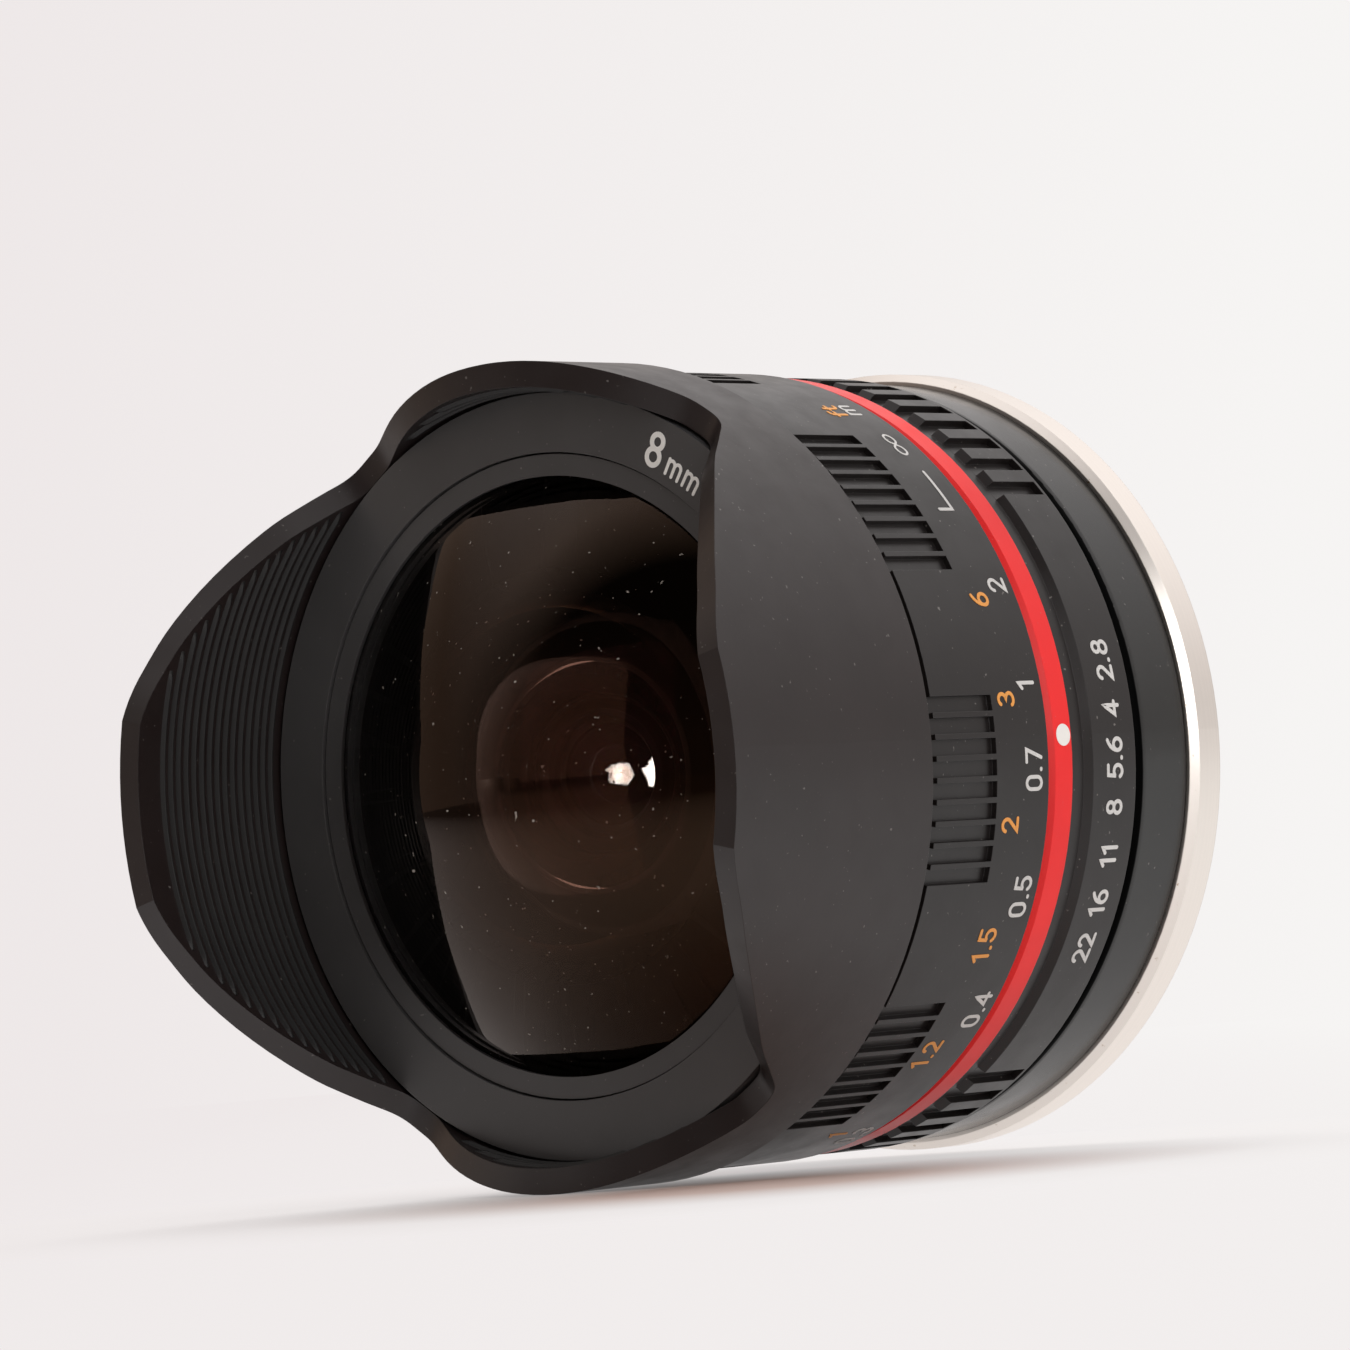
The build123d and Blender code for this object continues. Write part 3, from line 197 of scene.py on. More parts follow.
def dusted(nodes, links, colour, amount):
    """Colour with small pale specks, as dust lies on a dark surface."""
    specks = noise(nodes, links, place(nodes), DUST_SCALE, detail=1)
    share = spread_to(nodes, links, specks, 0.74, 0.80, 0, amount)
    return mixed(nodes, links, share, colour, DUST_COLOUR)


def painted(
    name, dark, light, roughness, grain_scale, grain_strength, dust=0.5, edge_round=0.08, specular=0.5,
):
    """Painted or anodised metal: a mottled colour, a fine grain, an uneven sheen and dust."""
    made, nodes, links, bsdf = material(name)
    vector = place(nodes)
    patches = spread_to(nodes, links, noise(nodes, links, vector, PATCH_SCALE), 0.3, 0.7, 0, 1)
    colour = mixed(nodes, links, patches, dark, light)
    if dust:
        colour = dusted(nodes, links, colour, dust)
    links.new(colour, bsdf.inputs["Base Color"])
    sheen = noise(nodes, links, vector, SHEEN_SCALE, detail=5)
    sheen = spread_to(nodes, links, sheen, 0.3, 0.7, roughness - 0.05, roughness + 0.06)
    links.new(sheen, bsdf.inputs["Roughness"])
    bsdf.inputs["Specular IOR Level"].default_value = specular
    grain = noise(nodes, links, vector, grain_scale, 2)
    relief(nodes, links, bsdf, grain, grain_strength, PAINT_RELIEF, edge_round)
    return made


def brushed(name, colour, roughness, lines, strength, worn=None, edge_round=0.1):
    """Turned metal with fine lines round the axis. worn is two stations and the specks' colour."""
    made, nodes, links, bsdf = material(name)
    vector, along = around_axis(nodes, links)
    streaks = noise(nodes, links, vector, lines, detail=4, roughness=0.7)
    tone = spread_to(nodes, links, streaks, 0.25, 0.75, 0, 1)
    deeper = tuple(TURNED_SHADE_SHARE * part for part in colour[:3]) + (1,)
    base = mixed(nodes, links, tone, deeper, colour)
    if worn:
        start, end, tint = worn
        inside = spread_to(nodes, links, along, -end * MM, -start * MM, 1, 0)
        chips = noise(nodes, links, place(nodes), WEAR_SCALE, detail=4)
        chips = spread_to(nodes, links, chips, 0.66, 0.70, 0, 1)
        chips = maths(nodes, links, "MULTIPLY", inside, chips, clamp=True)
        base = mixed(nodes, links, chips, base, tint)
    links.new(base, bsdf.inputs["Base Color"])
    bsdf.inputs["Metallic"].default_value = 1
    sheen = spread_to(nodes, links, streaks, 0.2, 0.8, roughness - 0.06, roughness + 0.08)
    links.new(sheen, bsdf.inputs["Roughness"])
    relief(nodes, links, bsdf, streaks, strength, TURNED_RELIEF, edge_round)
    return made


def painted_gap_shade(look, station, tint):
    """Painted shade: makes a painted look matt and dark in front of a station."""
    nodes, links = look.node_tree.nodes, look.node_tree.links
    bsdf = nodes["Principled BSDF"]
    along = axes(nodes, links, place(nodes))[1]
    share = spread_to(nodes, links, along, -(station + EDGE_BLEND) * MM, -station * MM, 1, 0)
    colour = bsdf.inputs["Base Color"].links[0].from_socket
    links.new(mixed(nodes, links, share, colour, tint), bsdf.inputs["Base Color"])
    sheen = bsdf.inputs["Roughness"].links[0].from_socket
    rougher = maths(nodes, links, "MULTIPLY", share, EDGE_EXTRA_ROUGHNESS)
    links.new(maths(nodes, links, "ADD", sheen, rougher, clamp=True), bsdf.inputs["Roughness"])
    links.new(share, bsdf.inputs["Metallic"])


def glass(name, tint, coat_tint, dust):
    """Coated optical glass. coat_tint colours what little the surface reflects."""
    made, nodes, links, bsdf = material(name)
    bsdf.inputs["Base Color"].default_value = tint
    bsdf.inputs["Roughness"].default_value = 0
    bsdf.inputs["IOR"].default_value = GLASS_INDEX
    bsdf.inputs["Transmission Weight"].default_value = 1
    bsdf.inputs["Specular Tint"].default_value = coat_tint
    if dust:
        powder = nodes.new("ShaderNodeBsdfDiffuse")
        powder.inputs["Color"].default_value = POWDER_COLOUR
        specks = noise(nodes, links, place(nodes), POWDER_SCALE, detail=1)
        share = spread_to(nodes, links, specks, 0.745, 0.80, 0, dust)
        surface = blended(nodes, links, share, bsdf.outputs[0], powder.outputs[0])
        links.new(surface, nodes["Material Output"].inputs["Surface"])
    return made


def painted_glow_glass(name):
    """Dark glass behind the iris with a painted glow: a small hexagon emits light, standing in for light that
    comes through from the mount.
    """
    made, nodes, links, bsdf = material(name)
    bsdf.inputs["Base Color"].default_value = GLOW_GLASS_BASE
    bsdf.inputs["Roughness"].default_value = GLOW_GLASS_ROUGHNESS
    across, _, up = axes(nodes, links, place(nodes))
    reach = None
    for turn in GLOW_ANGLES:
        parts = [
            maths(nodes, links, "MULTIPLY", value, share)
            for value, share in ((across, cos(radians(turn))), (up, sin(radians(turn))))
        ]
        side = maths(nodes, links, "ABSOLUTE", maths(nodes, links, "ADD", *parts))
        reach = side if reach is None else maths(nodes, links, "MAXIMUM", reach, side)
    # Painted glow: emission inside the hexagon, bluer towards its edge.
    lit = spread_to(nodes, links, reach, GLOW_REACH * MM, 1.15 * GLOW_REACH * MM, 1, 0)
    edge = spread_to(nodes, links, reach, 0.7 * GLOW_REACH * MM, GLOW_REACH * MM, 0, 1)
    links.new(mixed(nodes, links, edge, GLOW_MIDDLE, GLOW_EDGE), bsdf.inputs["Emission Color"])
    links.new(maths(nodes, links, "MULTIPLY", lit, GLOW_STRENGTH), bsdf.inputs["Emission Strength"])
    return made


LOOKS = {
    "hood_black": painted(
        "hood_satin", (0.014, 0.0095, 0.009, 1), (0.019, 0.013, 0.0125, 1), 0.36, 2200, 0.2, dust=0.3
    ),
    "ring_black": painted(
        "name_ring_satin", (0.055, 0.053, 0.053, 1), (0.066, 0.064, 0.064, 1), 0.38, 2600, 0.12, dust=0.3
    ),
    "barrel_black": painted(
        "ring_satin", (0.0095, 0.0075, 0.007, 1), (0.014, 0.011, 0.0105, 1), 0.34, 2400, 0.18, dust=0.4,
        specular=0.46,
    ),
    "gloss_black": painted(
        "barrel_gloss", (0.012, 0.012, 0.012, 1), (0.017, 0.017, 0.016, 1), 0.2, 900, 0.06, dust=0.3
    ),
    "inner_black": painted(
        "inner_matt", (0.007, 0.0068, 0.0066, 1), (0.011, 0.0105, 0.0102, 1), 0.55, 1500, 0.06, dust=0
    ),
    "baffle_black": painted(
        "baffle_matt", (0.012, 0.012, 0.012, 1), (0.02, 0.019, 0.018, 1), 0.7, 3000, 0.4, dust=0.3
    ),
    "red_anodised": painted(
        "red_ring", (0.80, 0.022, 0.024, 1), (0.92, 0.032, 0.032, 1), 0.33, 2000, 0.12, dust=0.2,
        specular=0.2,
    ),
    "white_fill": painted(
        "white_paint", (0.80, 0.78, 0.74, 1), (0.90, 0.885, 0.85, 1), 0.45, 2500, 0.2, dust=0, edge_round=0.02
    ),
    "silver_satin": brushed(
        "satin_silver", (0.96, 0.90, 0.84, 1), 0.36, 9000, 0.1, worn=(3.6, 4.0, (0.45, 0.32, 0.2, 1))
    ),
    "mount_chrome": brushed("mount_chrome", (0.80, 0.79, 0.77, 1), 0.2, 6000, 0.12),
    "steel": brushed("turned_steel", (0.62, 0.61, 0.60, 1), 0.25, 5000, 0.15, edge_round=0.05),
    "brass": brushed("turned_brass", (0.76, 0.56, 0.27, 1), 0.28, 5000, 0.15, edge_round=0.05),
    "blade_black": painted(
        "blade_film", (0.02, 0.02, 0.022, 1), (0.035, 0.034, 0.036, 1), 0.4, 1800, 0.1, dust=0
    ),
}
ORANGE_PAINT = painted(
    "orange_paint", (0.76, 0.29, 0.05, 1), (0.84, 0.36, 0.07, 1), 0.45, 2500, 0.2, dust=0, edge_round=0.02
)
SCALE_PAINT = painted(
    "scale_paint", (0.56, 0.55, 0.54, 1), (0.68, 0.67, 0.65, 1), 0.5, 2500, 0.2, dust=0, edge_round=0.02
)

# The rear barrel's front edge lies in the gap behind the aperture ring; painted shade makes it near black
# there.
EDGE_STATION = 9.15
painted_gap_shade(LOOKS["gloss_black"], EDGE_STATION, (0.002, 0.002, 0.002, 1))

# What each element's coating reflects, from the front glass backwards
COAT_TINTS = (
    (0.62, 0.37, 0.23, 1), (0.20, 0.05, 0.10, 1), (0.06, 0.03, 0.14, 1), (0.20, 0.10, 0.03, 1),
    (0.14, 0.03, 0.07, 1), (0.16, 0.10, 0.04, 1), (0.06, 0.05, 0.14, 1), (0.12, 0.06, 0.09, 1),
    (0.08, 0.10, 0.09, 1), (0.10, 0.08, 0.12, 1), (0.09, 0.12, 0.08, 1),
)
FRONT_TINT = (0.46, 0.32, 0.27, 1)
CLEAR_TINT = (1, 1, 1, 1)
FRONT_DUST = 0.6
# Painted glow: one element behind the iris emits light in a small hexagon, in place of light coming through
# from the mount.
GLOW_ELEMENT = 6
GLOW_REACH = 1.35
GLOW_ANGLES = (20, 80, 140)
GLOW_GLASS_BASE = (0.03, 0.028, 0.03, 1)
GLOW_GLASS_ROUGHNESS = 0.15
GLOW_MIDDLE = (1, 1, 0.97, 1)
GLOW_EDGE = (0.80, 0.92, 1, 1)
GLOW_STRENGTH = 14


def element_look(number):
    if number == GLOW_ELEMENT:
        return painted_glow_glass("painted_glow_glass")
    first = number == 1
    return glass(
        f"coated_glass_{number:02d}", FRONT_TINT if first else CLEAR_TINT,
        COAT_TINTS[number - 1], FRONT_DUST if first else 0,
    )


def dress_nodes():
    slot_of = {part["node"]: part["material_slot"] for part in frame["record"]["subparts"]}
    for node, thing in frame["nodes"].items():
        if node.startswith("lens_element"):
            look = element_look(int(node[-2:]))
        else:
            look = LOOKS[slot_of[node]]
        thing.data.materials.clear()
        thing.data.materials.append(look)


# Marks painted on the rings. A glyph's strokes are in shares of its height: two numbers are a
# point, and six are an arc (centre, half width, half height, start and end angle).
GLYPH_SHARES = {
    "0": (0.60, [[(0.30, 0.68, 0.23, 0.26, 0, 180), (0.30, 0.32, 0.23, 0.26, 180, 360), "close"]]),
    "1": (0.42, [[(0.08, 0.76), (0.29, 0.94), (0.29, 0.06)]]),
    "2": (0.60, [[(0.30, 0.69, 0.23, 0.25, 168, -32), (0.08, 0.06), (0.55, 0.06)]]),
    "3": (0.58, [[(0.27, 0.72, 0.21, 0.22, 150, -90), (0.27, 0.28, 0.24, 0.22, 90, -152)]]),
    "4": (0.62, [[(0.43, 0.06), (0.43, 0.94), (0.07, 0.29), (0.58, 0.29)]]),
    "5": (0.60, [[(0.52, 0.94), (0.14, 0.94), (0.11, 0.53), (0.29, 0.32, 0.24, 0.26, 128, -152)]]),
    "6": (0.60, [[(0.30, 0.31, 0.23, 0.25, 0, 360), "close"], [(0.72, 0.31, 0.65, 0.68, 112, 178)]]),
    "7": (0.58, [[(0.06, 0.94), (0.53, 0.94), (0.22, 0.06)]]),
    "8": (0.60, [
        [(0.30, 0.73, 0.20, 0.21, -90, 270), "close"], [(0.30, 0.29, 0.235, 0.23, 90, 450), "close"],
    ]),
    ".": (0.24, [[(0.10, 0.075), (0.13, 0.075)]]),
    "m": (0.86, [
        [(0.08, 0.06), (0.08, 0.64)],
        [(0.245, 0.44, 0.165, 0.18, 180, 0), (0.41, 0.06)],
        [(0.575, 0.44, 0.165, 0.18, 180, 0), (0.74, 0.06)],
    ]),
    "f": (0.42, [[(0.17, 0.06), (0.34, 0.76, 0.17, 0.18, 180, 75)], [(0.05, 0.62), (0.36, 0.62)]]),
    "t": (0.44, [[(0.18, 0.88), (0.36, 0.24, 0.18, 0.18, 180, 285)], [(0.05, 0.62), (0.38, 0.62)]]),
    "infinity": (1.42, [
        [(0.36, 0.5, 0.30, 0.24, 50, 310), (1.06, 0.5, 0.30, 0.24, 130, -130), "close"],
    ]),
}
ARC_STEP = 15
SAME_POINT_SHARE = 0.01
MITRE_LIMIT = 0.5
CAP_STEPS = 4
CAP_OVERSHOOT = 0.3
RUN_STEP = 0.3
PAINT_TOP = 0.03
PAINT_ROOT = 0.02
STROKE_STEP = 0.003


def stroke_points(stroke, height):
    """Points of one stroke, in millimetres, and whether it is closed."""
    closed = stroke[-1] == "close"
    points = []
    for piece in stroke[:-1] if closed else stroke:
        if len(piece) == 2:
            points.append(Vector(piece) * height)
            continue
        x, y, across, up, start, end = piece
        steps = ceil(abs(end - start) / ARC_STEP)
        for step in range(steps + 1):
            turn = radians(start + (end - start) * step / steps)
            points.append(Vector((x + across * cos(turn), y + up * sin(turn))) * height)
    kept = [points[0]]
    for point in points[1:]:
        if (point - kept[-1]).length > SAME_POINT_SHARE * height:
            runs = ceil((point - kept[-1]).length / RUN_STEP)
            start = kept[-1]
            kept += [start.lerp(point, run / runs) for run in range(1, runs + 1)]
    if closed and (kept[0] - kept[-1]).length < SAME_POINT_SHARE * height:
        kept.pop()
    return kept, closed


def stroke_sections(points, closed, half):
    """Left and right points of a stroke's outline at each place along it, with round ends."""
    count = len(points)
    sections = []
    for number, point in enumerate(points):
        before = points[number - 1] if number or closed else point
        after = points[(number + 1) % count] if number < count - 1 or closed else point
        into = (point - before).normalized() if before != point else (after - point).normalized()
        out = (after - point).normalized() if after != point else into
        middle = (into + out).normalized()
        reach = half / max(middle.dot(into), MITRE_LIMIT)
        side = Vector((-middle.y, middle.x)) * reach
        sections.append((point + side, point - side))
    if not closed:
        for end, inner in ((0, 1), (-1, -2)):
            along = (points[end] - points[inner]).normalized()
            side = Vector((-along.y, along.x)) * (1 if end else -1)
            caps = []
            for step in range(1, CAP_STEPS + 1):
                turn = radians(90 * step / (CAP_STEPS + CAP_OVERSHOOT))
                tip = points[end] + along * half * sin(turn)
                caps.append((tip + side * half * cos(turn), tip - side * half * cos(turn)))
            sections = sections + caps if end else caps[::-1] + sections
    return sections


def ribbon(mesh, sections, closed, lay, rise=0):
    """Thin raised ribbon through the sections. lay puts (across, up, height) on the surface."""
    rows = []
    top = PAINT_TOP + rise
    for left, right in sections:
        corners = ((left, top), (right, top), (right, -PAINT_ROOT), (left, -PAINT_ROOT))
        rows.append([mesh.verts.new(lay(point.x, point.y, height)) for point, height in corners])
    pairs = list(zip(rows, rows[1:]))
    if closed:
        pairs.append((rows[-1], rows[0]))
    for first, second in pairs:
        for edge in range(4):
            after = (edge + 1) % 4
            mesh.faces.new((first[edge], first[after], second[after], second[edge]))
    if not closed:
        mesh.faces.new(rows[0][::-1])
        mesh.faces.new(rows[-1])


def on_barrel(radius, angle, station):
    """Text on a ring: it reads towards larger angles, and its top is towards the front."""
    def lay(across, up, height):
        turn = radians(angle) + across / radius
        out = radius + height
        return Vector((out * cos(turn), -(station + up), out * sin(turn))) * MM
    return lay


def on_face(radius, angle, station):
    """Text on a flat ring that faces the front, with its top outwards."""
    def lay(across, up, height):
        turn = radians(angle) - across / radius
        out = radius + up
        return Vector((out * cos(turn), -(station + height), out * sin(turn))) * MM
    return lay


def finished(mesh, name, body, look):
    """Mesh made into a piece that rides on a body."""
    bmesh.ops.recalc_face_normals(mesh, faces=mesh.faces)
    data = bpy.data.meshes.new(name)
    mesh.to_mesh(data)
    mesh.free()
    data.materials.append(look)
    thing = bpy.data.objects.new(name, data)
    bpy.context.scene.collection.objects.link(thing)
    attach(thing, body)
    return thing


LETTER_GAP_SHARE = 0.10


def write(mesh, words, height, weight_share, lay_at):
    """Words centred across the place that lay_at lays."""
    glyphs = ["infinity"] if words == "infinity" else list(words)
    widths = [GLYPH_SHARES[glyph][0] * height for glyph in glyphs]
    gap = LETTER_GAP_SHARE * height
    across = -(sum(widths) + gap * (len(glyphs) - 1)) / 2
    for glyph, width in zip(glyphs, widths):
        for number, stroke in enumerate(GLYPH_SHARES[glyph][1]):
            points, closed = stroke_points(stroke, height)
            shift = Vector((across, -height / 2))
            points = [point + shift for point in points]
            sections = stroke_sections(points, closed, weight_share * height / 2)
            ribbon(mesh, sections, closed, lay_at, STROKE_STEP * number)
        across += width + gap


METRE_STATION = 22.85
FEET_STATION = 25.4
SCALE_HEIGHT = 1.9
SCALE_WEIGHT_SHARE = 0.145
METRES = (
    ("2", 22.05), ("1", 7.2), ("0.7", -4.7), ("0.5", -22.8), ("0.4", -40.9), ("0.3", -70.7),
)
FEET = (
    ("ft", 58.1), ("6", 19.9), ("3", 5.3), ("2", -12.35), ("1.5", -30), ("1.2", -49), ("1", -69.5),
)
METRE_SIGN = ("m", 58.5)
METRE_SIGN_STATION = 23.8
METRE_SIGN_HEIGHT = 2.1
METRE_SIGN_WEIGHT_SHARE = 0.11
FAR_SIGN = ("infinity", 48.7)
FAR_SIGN_STATION = 23.4
FAR_SIGN_WEIGHT_SHARE = 0.1
FAR_MARK_ANGLES = (42.4, 35)
FAR_MARK_STATION = 23.25
FAR_MARK_FOOT = 1.45
STOP_STATION = 13.1
STOP_HEIGHT = 1.85
STOP_WEIGHT_SHARE = 0.16
STOPS = ("2.8", "4", "5.6", "8", "11", "16", "22")
STOP_ANGLE = 7.08
OPEN_ANGLE = 10.62
# Words, height, weight share, radius and angle of the figure on the name ring
FOCAL_LENGTH = (("8", 2.6, 0.15, 25.5, 61.5), ("mm", 1.95, 0.13, 25.2, 54.3))


def focus_scales():
    radius = node_radius("focus_ring")
    metres = bmesh.new()
    for words, angle in METRES:
        write(metres, words, SCALE_HEIGHT, SCALE_WEIGHT_SHARE, on_barrel(radius, angle, METRE_STATION))
    words, angle = METRE_SIGN
    sign_lay = on_barrel(radius, angle, METRE_SIGN_STATION)
    write(metres, words, METRE_SIGN_HEIGHT, METRE_SIGN_WEIGHT_SHARE, sign_lay)
    words, angle = FAR_SIGN
    far_lay = on_barrel(radius, angle, FAR_SIGN_STATION)
    write(metres, words, SCALE_HEIGHT, FAR_SIGN_WEIGHT_SHARE, far_lay)
    start, end = FAR_MARK_ANGLES
    length = radius * radians(start - end)
    stroke = [Vector((length, 0)), Vector((0, 0)), Vector((0, FAR_MARK_FOOT))]
    runs = ceil(length / RUN_STEP)
    long_side = [stroke[0].lerp(stroke[1], run / runs) for run in range(runs + 1)]
    sections = stroke_sections(long_side + [stroke[2]], False, SCALE_WEIGHT_SHARE * SCALE_HEIGHT / 2)
    ribbon(metres, sections, False, on_barrel(radius, end, FAR_MARK_STATION))
    finished(metres, "focus_scale_metres", "focus", SCALE_PAINT)
    feet = bmesh.new()
    for words, angle in FEET:
        write(feet, words, SCALE_HEIGHT, SCALE_WEIGHT_SHARE, on_barrel(radius, angle, FEET_STATION))
    finished(feet, "focus_scale_feet", "focus", ORANGE_PAINT)


def aperture_scale():
    radius = node_radius("aperture_ring")
    marks = bmesh.new()
    for number, words in enumerate(STOPS):
        angle = OPEN_ANGLE - STOP_ANGLE * number
        write(marks, words, STOP_HEIGHT, STOP_WEIGHT_SHARE, on_barrel(radius, angle, STOP_STATION))
    finished(marks, "aperture_scale", "aperture", SCALE_PAINT)


def focal_length_mark():
    """Plain figure on the ring round the front glass."""
    station = node_front("name_ring")
    mark = bmesh.new()
    for words, height, weight_share, radius, angle in FOCAL_LENGTH:
        write(mark, words, height, weight_share, on_face(radius, angle, station))
    finished(mark, "focal_length_mark", "body", LOOKS["white_fill"])


# Light-trap ridges on the inner wall of the hood, all of them in front of the name ring
RIDGE_COUNT = 15
RIDGE_PITCH = 0.8036
RIDGE_FIRST = 53.6
RIDGE_HEIGHT = 0.28
RIDGE_HALF_WIDTH = 0.27
RIDGE_ROOT = 0.04
RIDGE_EDGE_GAP = 0.35
RIDGE_CREST_SHARE = 0.2
RIDGE_RAMP_STEPS = 4
RIDGE_LEAST_STEPS = 6
RIM_STEPS = 720
RIM_PROBES = 11
RIM_CLEARANCE = 0.05


def hood_probe():
    """Function that gives the inner wall's radius at an angle and station, or None past the rim."""
    tree = BVHTree.FromObject(frame["nodes"]["petal_hood"], bpy.context.evaluated_depsgraph_get())

    def wall(angle, station):
        out = Vector((cos(angle), 0, sin(angle)))
        hit = tree.ray_cast(Vector((0, -station * MM, 0)), out)
        return hit[0].xz.length / MM if hit[0] is not None else None

    return wall


def rim_heights(wall):
    """Station of the hood's rim at each of RIM_STEPS angles."""
    low = node_front("name_ring") + RIM_CLEARANCE
    high = node_front("petal_hood")
    heights = []
    for step in range(RIM_STEPS):
        angle = 2 * pi * step / RIM_STEPS
        below, above = low, high
        for _ in range(RIM_PROBES):
            middle = (below + above) / 2
            if wall(angle, middle) is None:
                above = middle
            else:
                below = middle
        heights.append(below)
    return heights


def ridge_runs(heights, station):
    """Stretches of steps where the wall stands high enough for a ridge at the station."""
    open_step = heights.index(min(heights))
    runs, run = [], []
    for offset in range(RIM_STEPS + 1):
        step = (open_step + offset) % RIM_STEPS
        if heights[step] > station + RIDGE_HALF_WIDTH + RIDGE_EDGE_GAP and offset < RIM_STEPS:
            run.append(open_step + offset)
        elif run:
            runs.append(run)
            run = []
    return [run for run in runs if len(run) > RIDGE_LEAST_STEPS]


def hood_ridges():
    wall = hood_probe()
    heights = rim_heights(wall)
    ridges = bmesh.new()
    for number in range(RIDGE_COUNT):
        station = RIDGE_FIRST - RIDGE_PITCH * number
        if station - RIDGE_HALF_WIDTH < node_front("name_ring"):
            break
        for run in ridge_runs(heights, station):
            rows = []
            for place_in_run, step in enumerate(run):
                angle = 2 * pi * step / RIM_STEPS
                radius = wall(angle, station)
                from_end = min(place_in_run, len(run) - 1 - place_in_run)
                rise = RIDGE_HEIGHT * min(1, (from_end + 0.5) / RIDGE_RAMP_STEPS)
                crest = RIDGE_HALF_WIDTH * RIDGE_CREST_SHARE
                corners = (
                    (radius + RIDGE_ROOT, station + RIDGE_HALF_WIDTH),
                    (radius - rise, station + crest),
                    (radius - rise, station - crest),
                    (radius + RIDGE_ROOT, station - RIDGE_HALF_WIDTH),
                )
                rows.append([
                    ridges.verts.new(Vector((out * cos(angle), -along, out * sin(angle))) * MM)
                    for out, along in corners
                ])
            for first, second in zip(rows, rows[1:]):
                for edge in range(4):
                    after = (edge + 1) % 4
                    ridges.faces.new((first[edge], first[after], second[after], second[edge]))
            ridges.faces.new(rows[0][::-1])
            ridges.faces.new(rows[-1])
    finished(ridges, "hood_ridges", "body", LOOKS["inner_black"])


# Cross-headed screws of the mount plate
CROSS_REACH = 0.85
CROSS_HALF_WIDTH = 0.19
CROSS_DEPTH = 0.5
CROSS_TAPER_SHARE = 0.6
SCREW_BOX_RADIUS = 1.45
SCREW_HEAD_RADIUS = 1.42
SCREW_SINK = 0.01
SCREW_SHANK_RADIUS = 0.8
SCREW_HEAD_HEIGHT = 0.8
SCREW_LENGTH = 4.4
SCREW_SIDES = 40
SCREW_ANGLES = (45, 135, 225, 315)
SCREW_FIRST_SPIN = 17
SCREW_SPIN_STEP = 31


def cross_outline(reach, half):
    """Corners of a cross whose arms have this reach and half width."""
    quarter = [(reach, -half), (reach, half), (half, half)]
    points = []
    for turn in range(4):
        for x, y in quarter:
            for _ in range(turn):
                x, y = -y, x
            points.append((x, y))
    return points


def mount_screw(mesh, centre, spin):
    """One countersunk screw whose head faces the rear."""
    def point(x, y, station):
        turned_x, turned_y = x * cos(spin) - y * sin(spin), x * sin(spin) + y * cos(spin)
        return mesh.verts.new(Vector((centre[0] + turned_x, -station, centre[1] + turned_y)) * MM)

    def circle(radius, station):
        turns = [2 * pi * side / SCREW_SIDES for side in range(SCREW_SIDES)]
        return [point(radius * cos(turn), radius * sin(turn), station) for turn in turns]

    def loop_edges(loop):
        return [mesh.edges.new((first, second)) for first, second in zip(loop, loop[1:] + loop[:1])]

    def skirt(first, second):
        for number in range(len(first)):
            after = (number + 1) % len(first)
            mesh.faces.new((first[number], first[after], second[after], second[number]))

    rims = [
        circle(SCREW_HEAD_RADIUS, SCREW_SINK), circle(SCREW_SHANK_RADIUS, SCREW_HEAD_HEIGHT),
        circle(SCREW_SHANK_RADIUS, SCREW_LENGTH),
    ]
    mouth = [point(x, y, SCREW_SINK) for x, y in cross_outline(CROSS_REACH, CROSS_HALF_WIDTH)]
    taper = CROSS_TAPER_SHARE
    bottom = [
        point(x, y, SCREW_SINK + CROSS_DEPTH)
        for x, y in cross_outline(CROSS_REACH * taper, CROSS_HALF_WIDTH * taper)
    ]
    bmesh.ops.triangle_fill(mesh, use_beauty=True, edges=loop_edges(rims[0]) + loop_edges(mouth))
    skirt(rims[0], rims[1])
    skirt(rims[1], rims[2])
    mesh.faces.new(rims[2])
    skirt(mouth, bottom)
    mesh.faces.new(bottom)


def mount_screws():
    low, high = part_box("mount_screws")
    side = (high.x - low.x) / MM / 2 - SCREW_BOX_RADIUS
    circle = hypot(side, side)
    screws = bmesh.new()
    for number, angle in enumerate(SCREW_ANGLES):
        turn = radians(angle)
        spin = radians(SCREW_FIRST_SPIN + SCREW_SPIN_STEP * number)
        mount_screw(screws, (circle * cos(turn), circle * sin(turn)), spin)
    made = finished(screws, "mount_screws_crossed", "body", LOOKS["steel"])
    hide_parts("mount_screws")


# Stage, light and camera. WARM_SHADOW_PLACE, SHADE_PLACE and the reaches are in metres, like the shader's
# own coordinates.
FLOOR_DROP = 0.02
FLOOR_RADIUS = 900.0
FLOOR_RINGS = 48
FLOOR_SIDES = 96
FIBRE_SCALE = 700
PAPER_DARK = (0.76, 0.745, 0.735, 1)
PAPER_LIGHT = (0.79, 0.775, 0.765, 1)
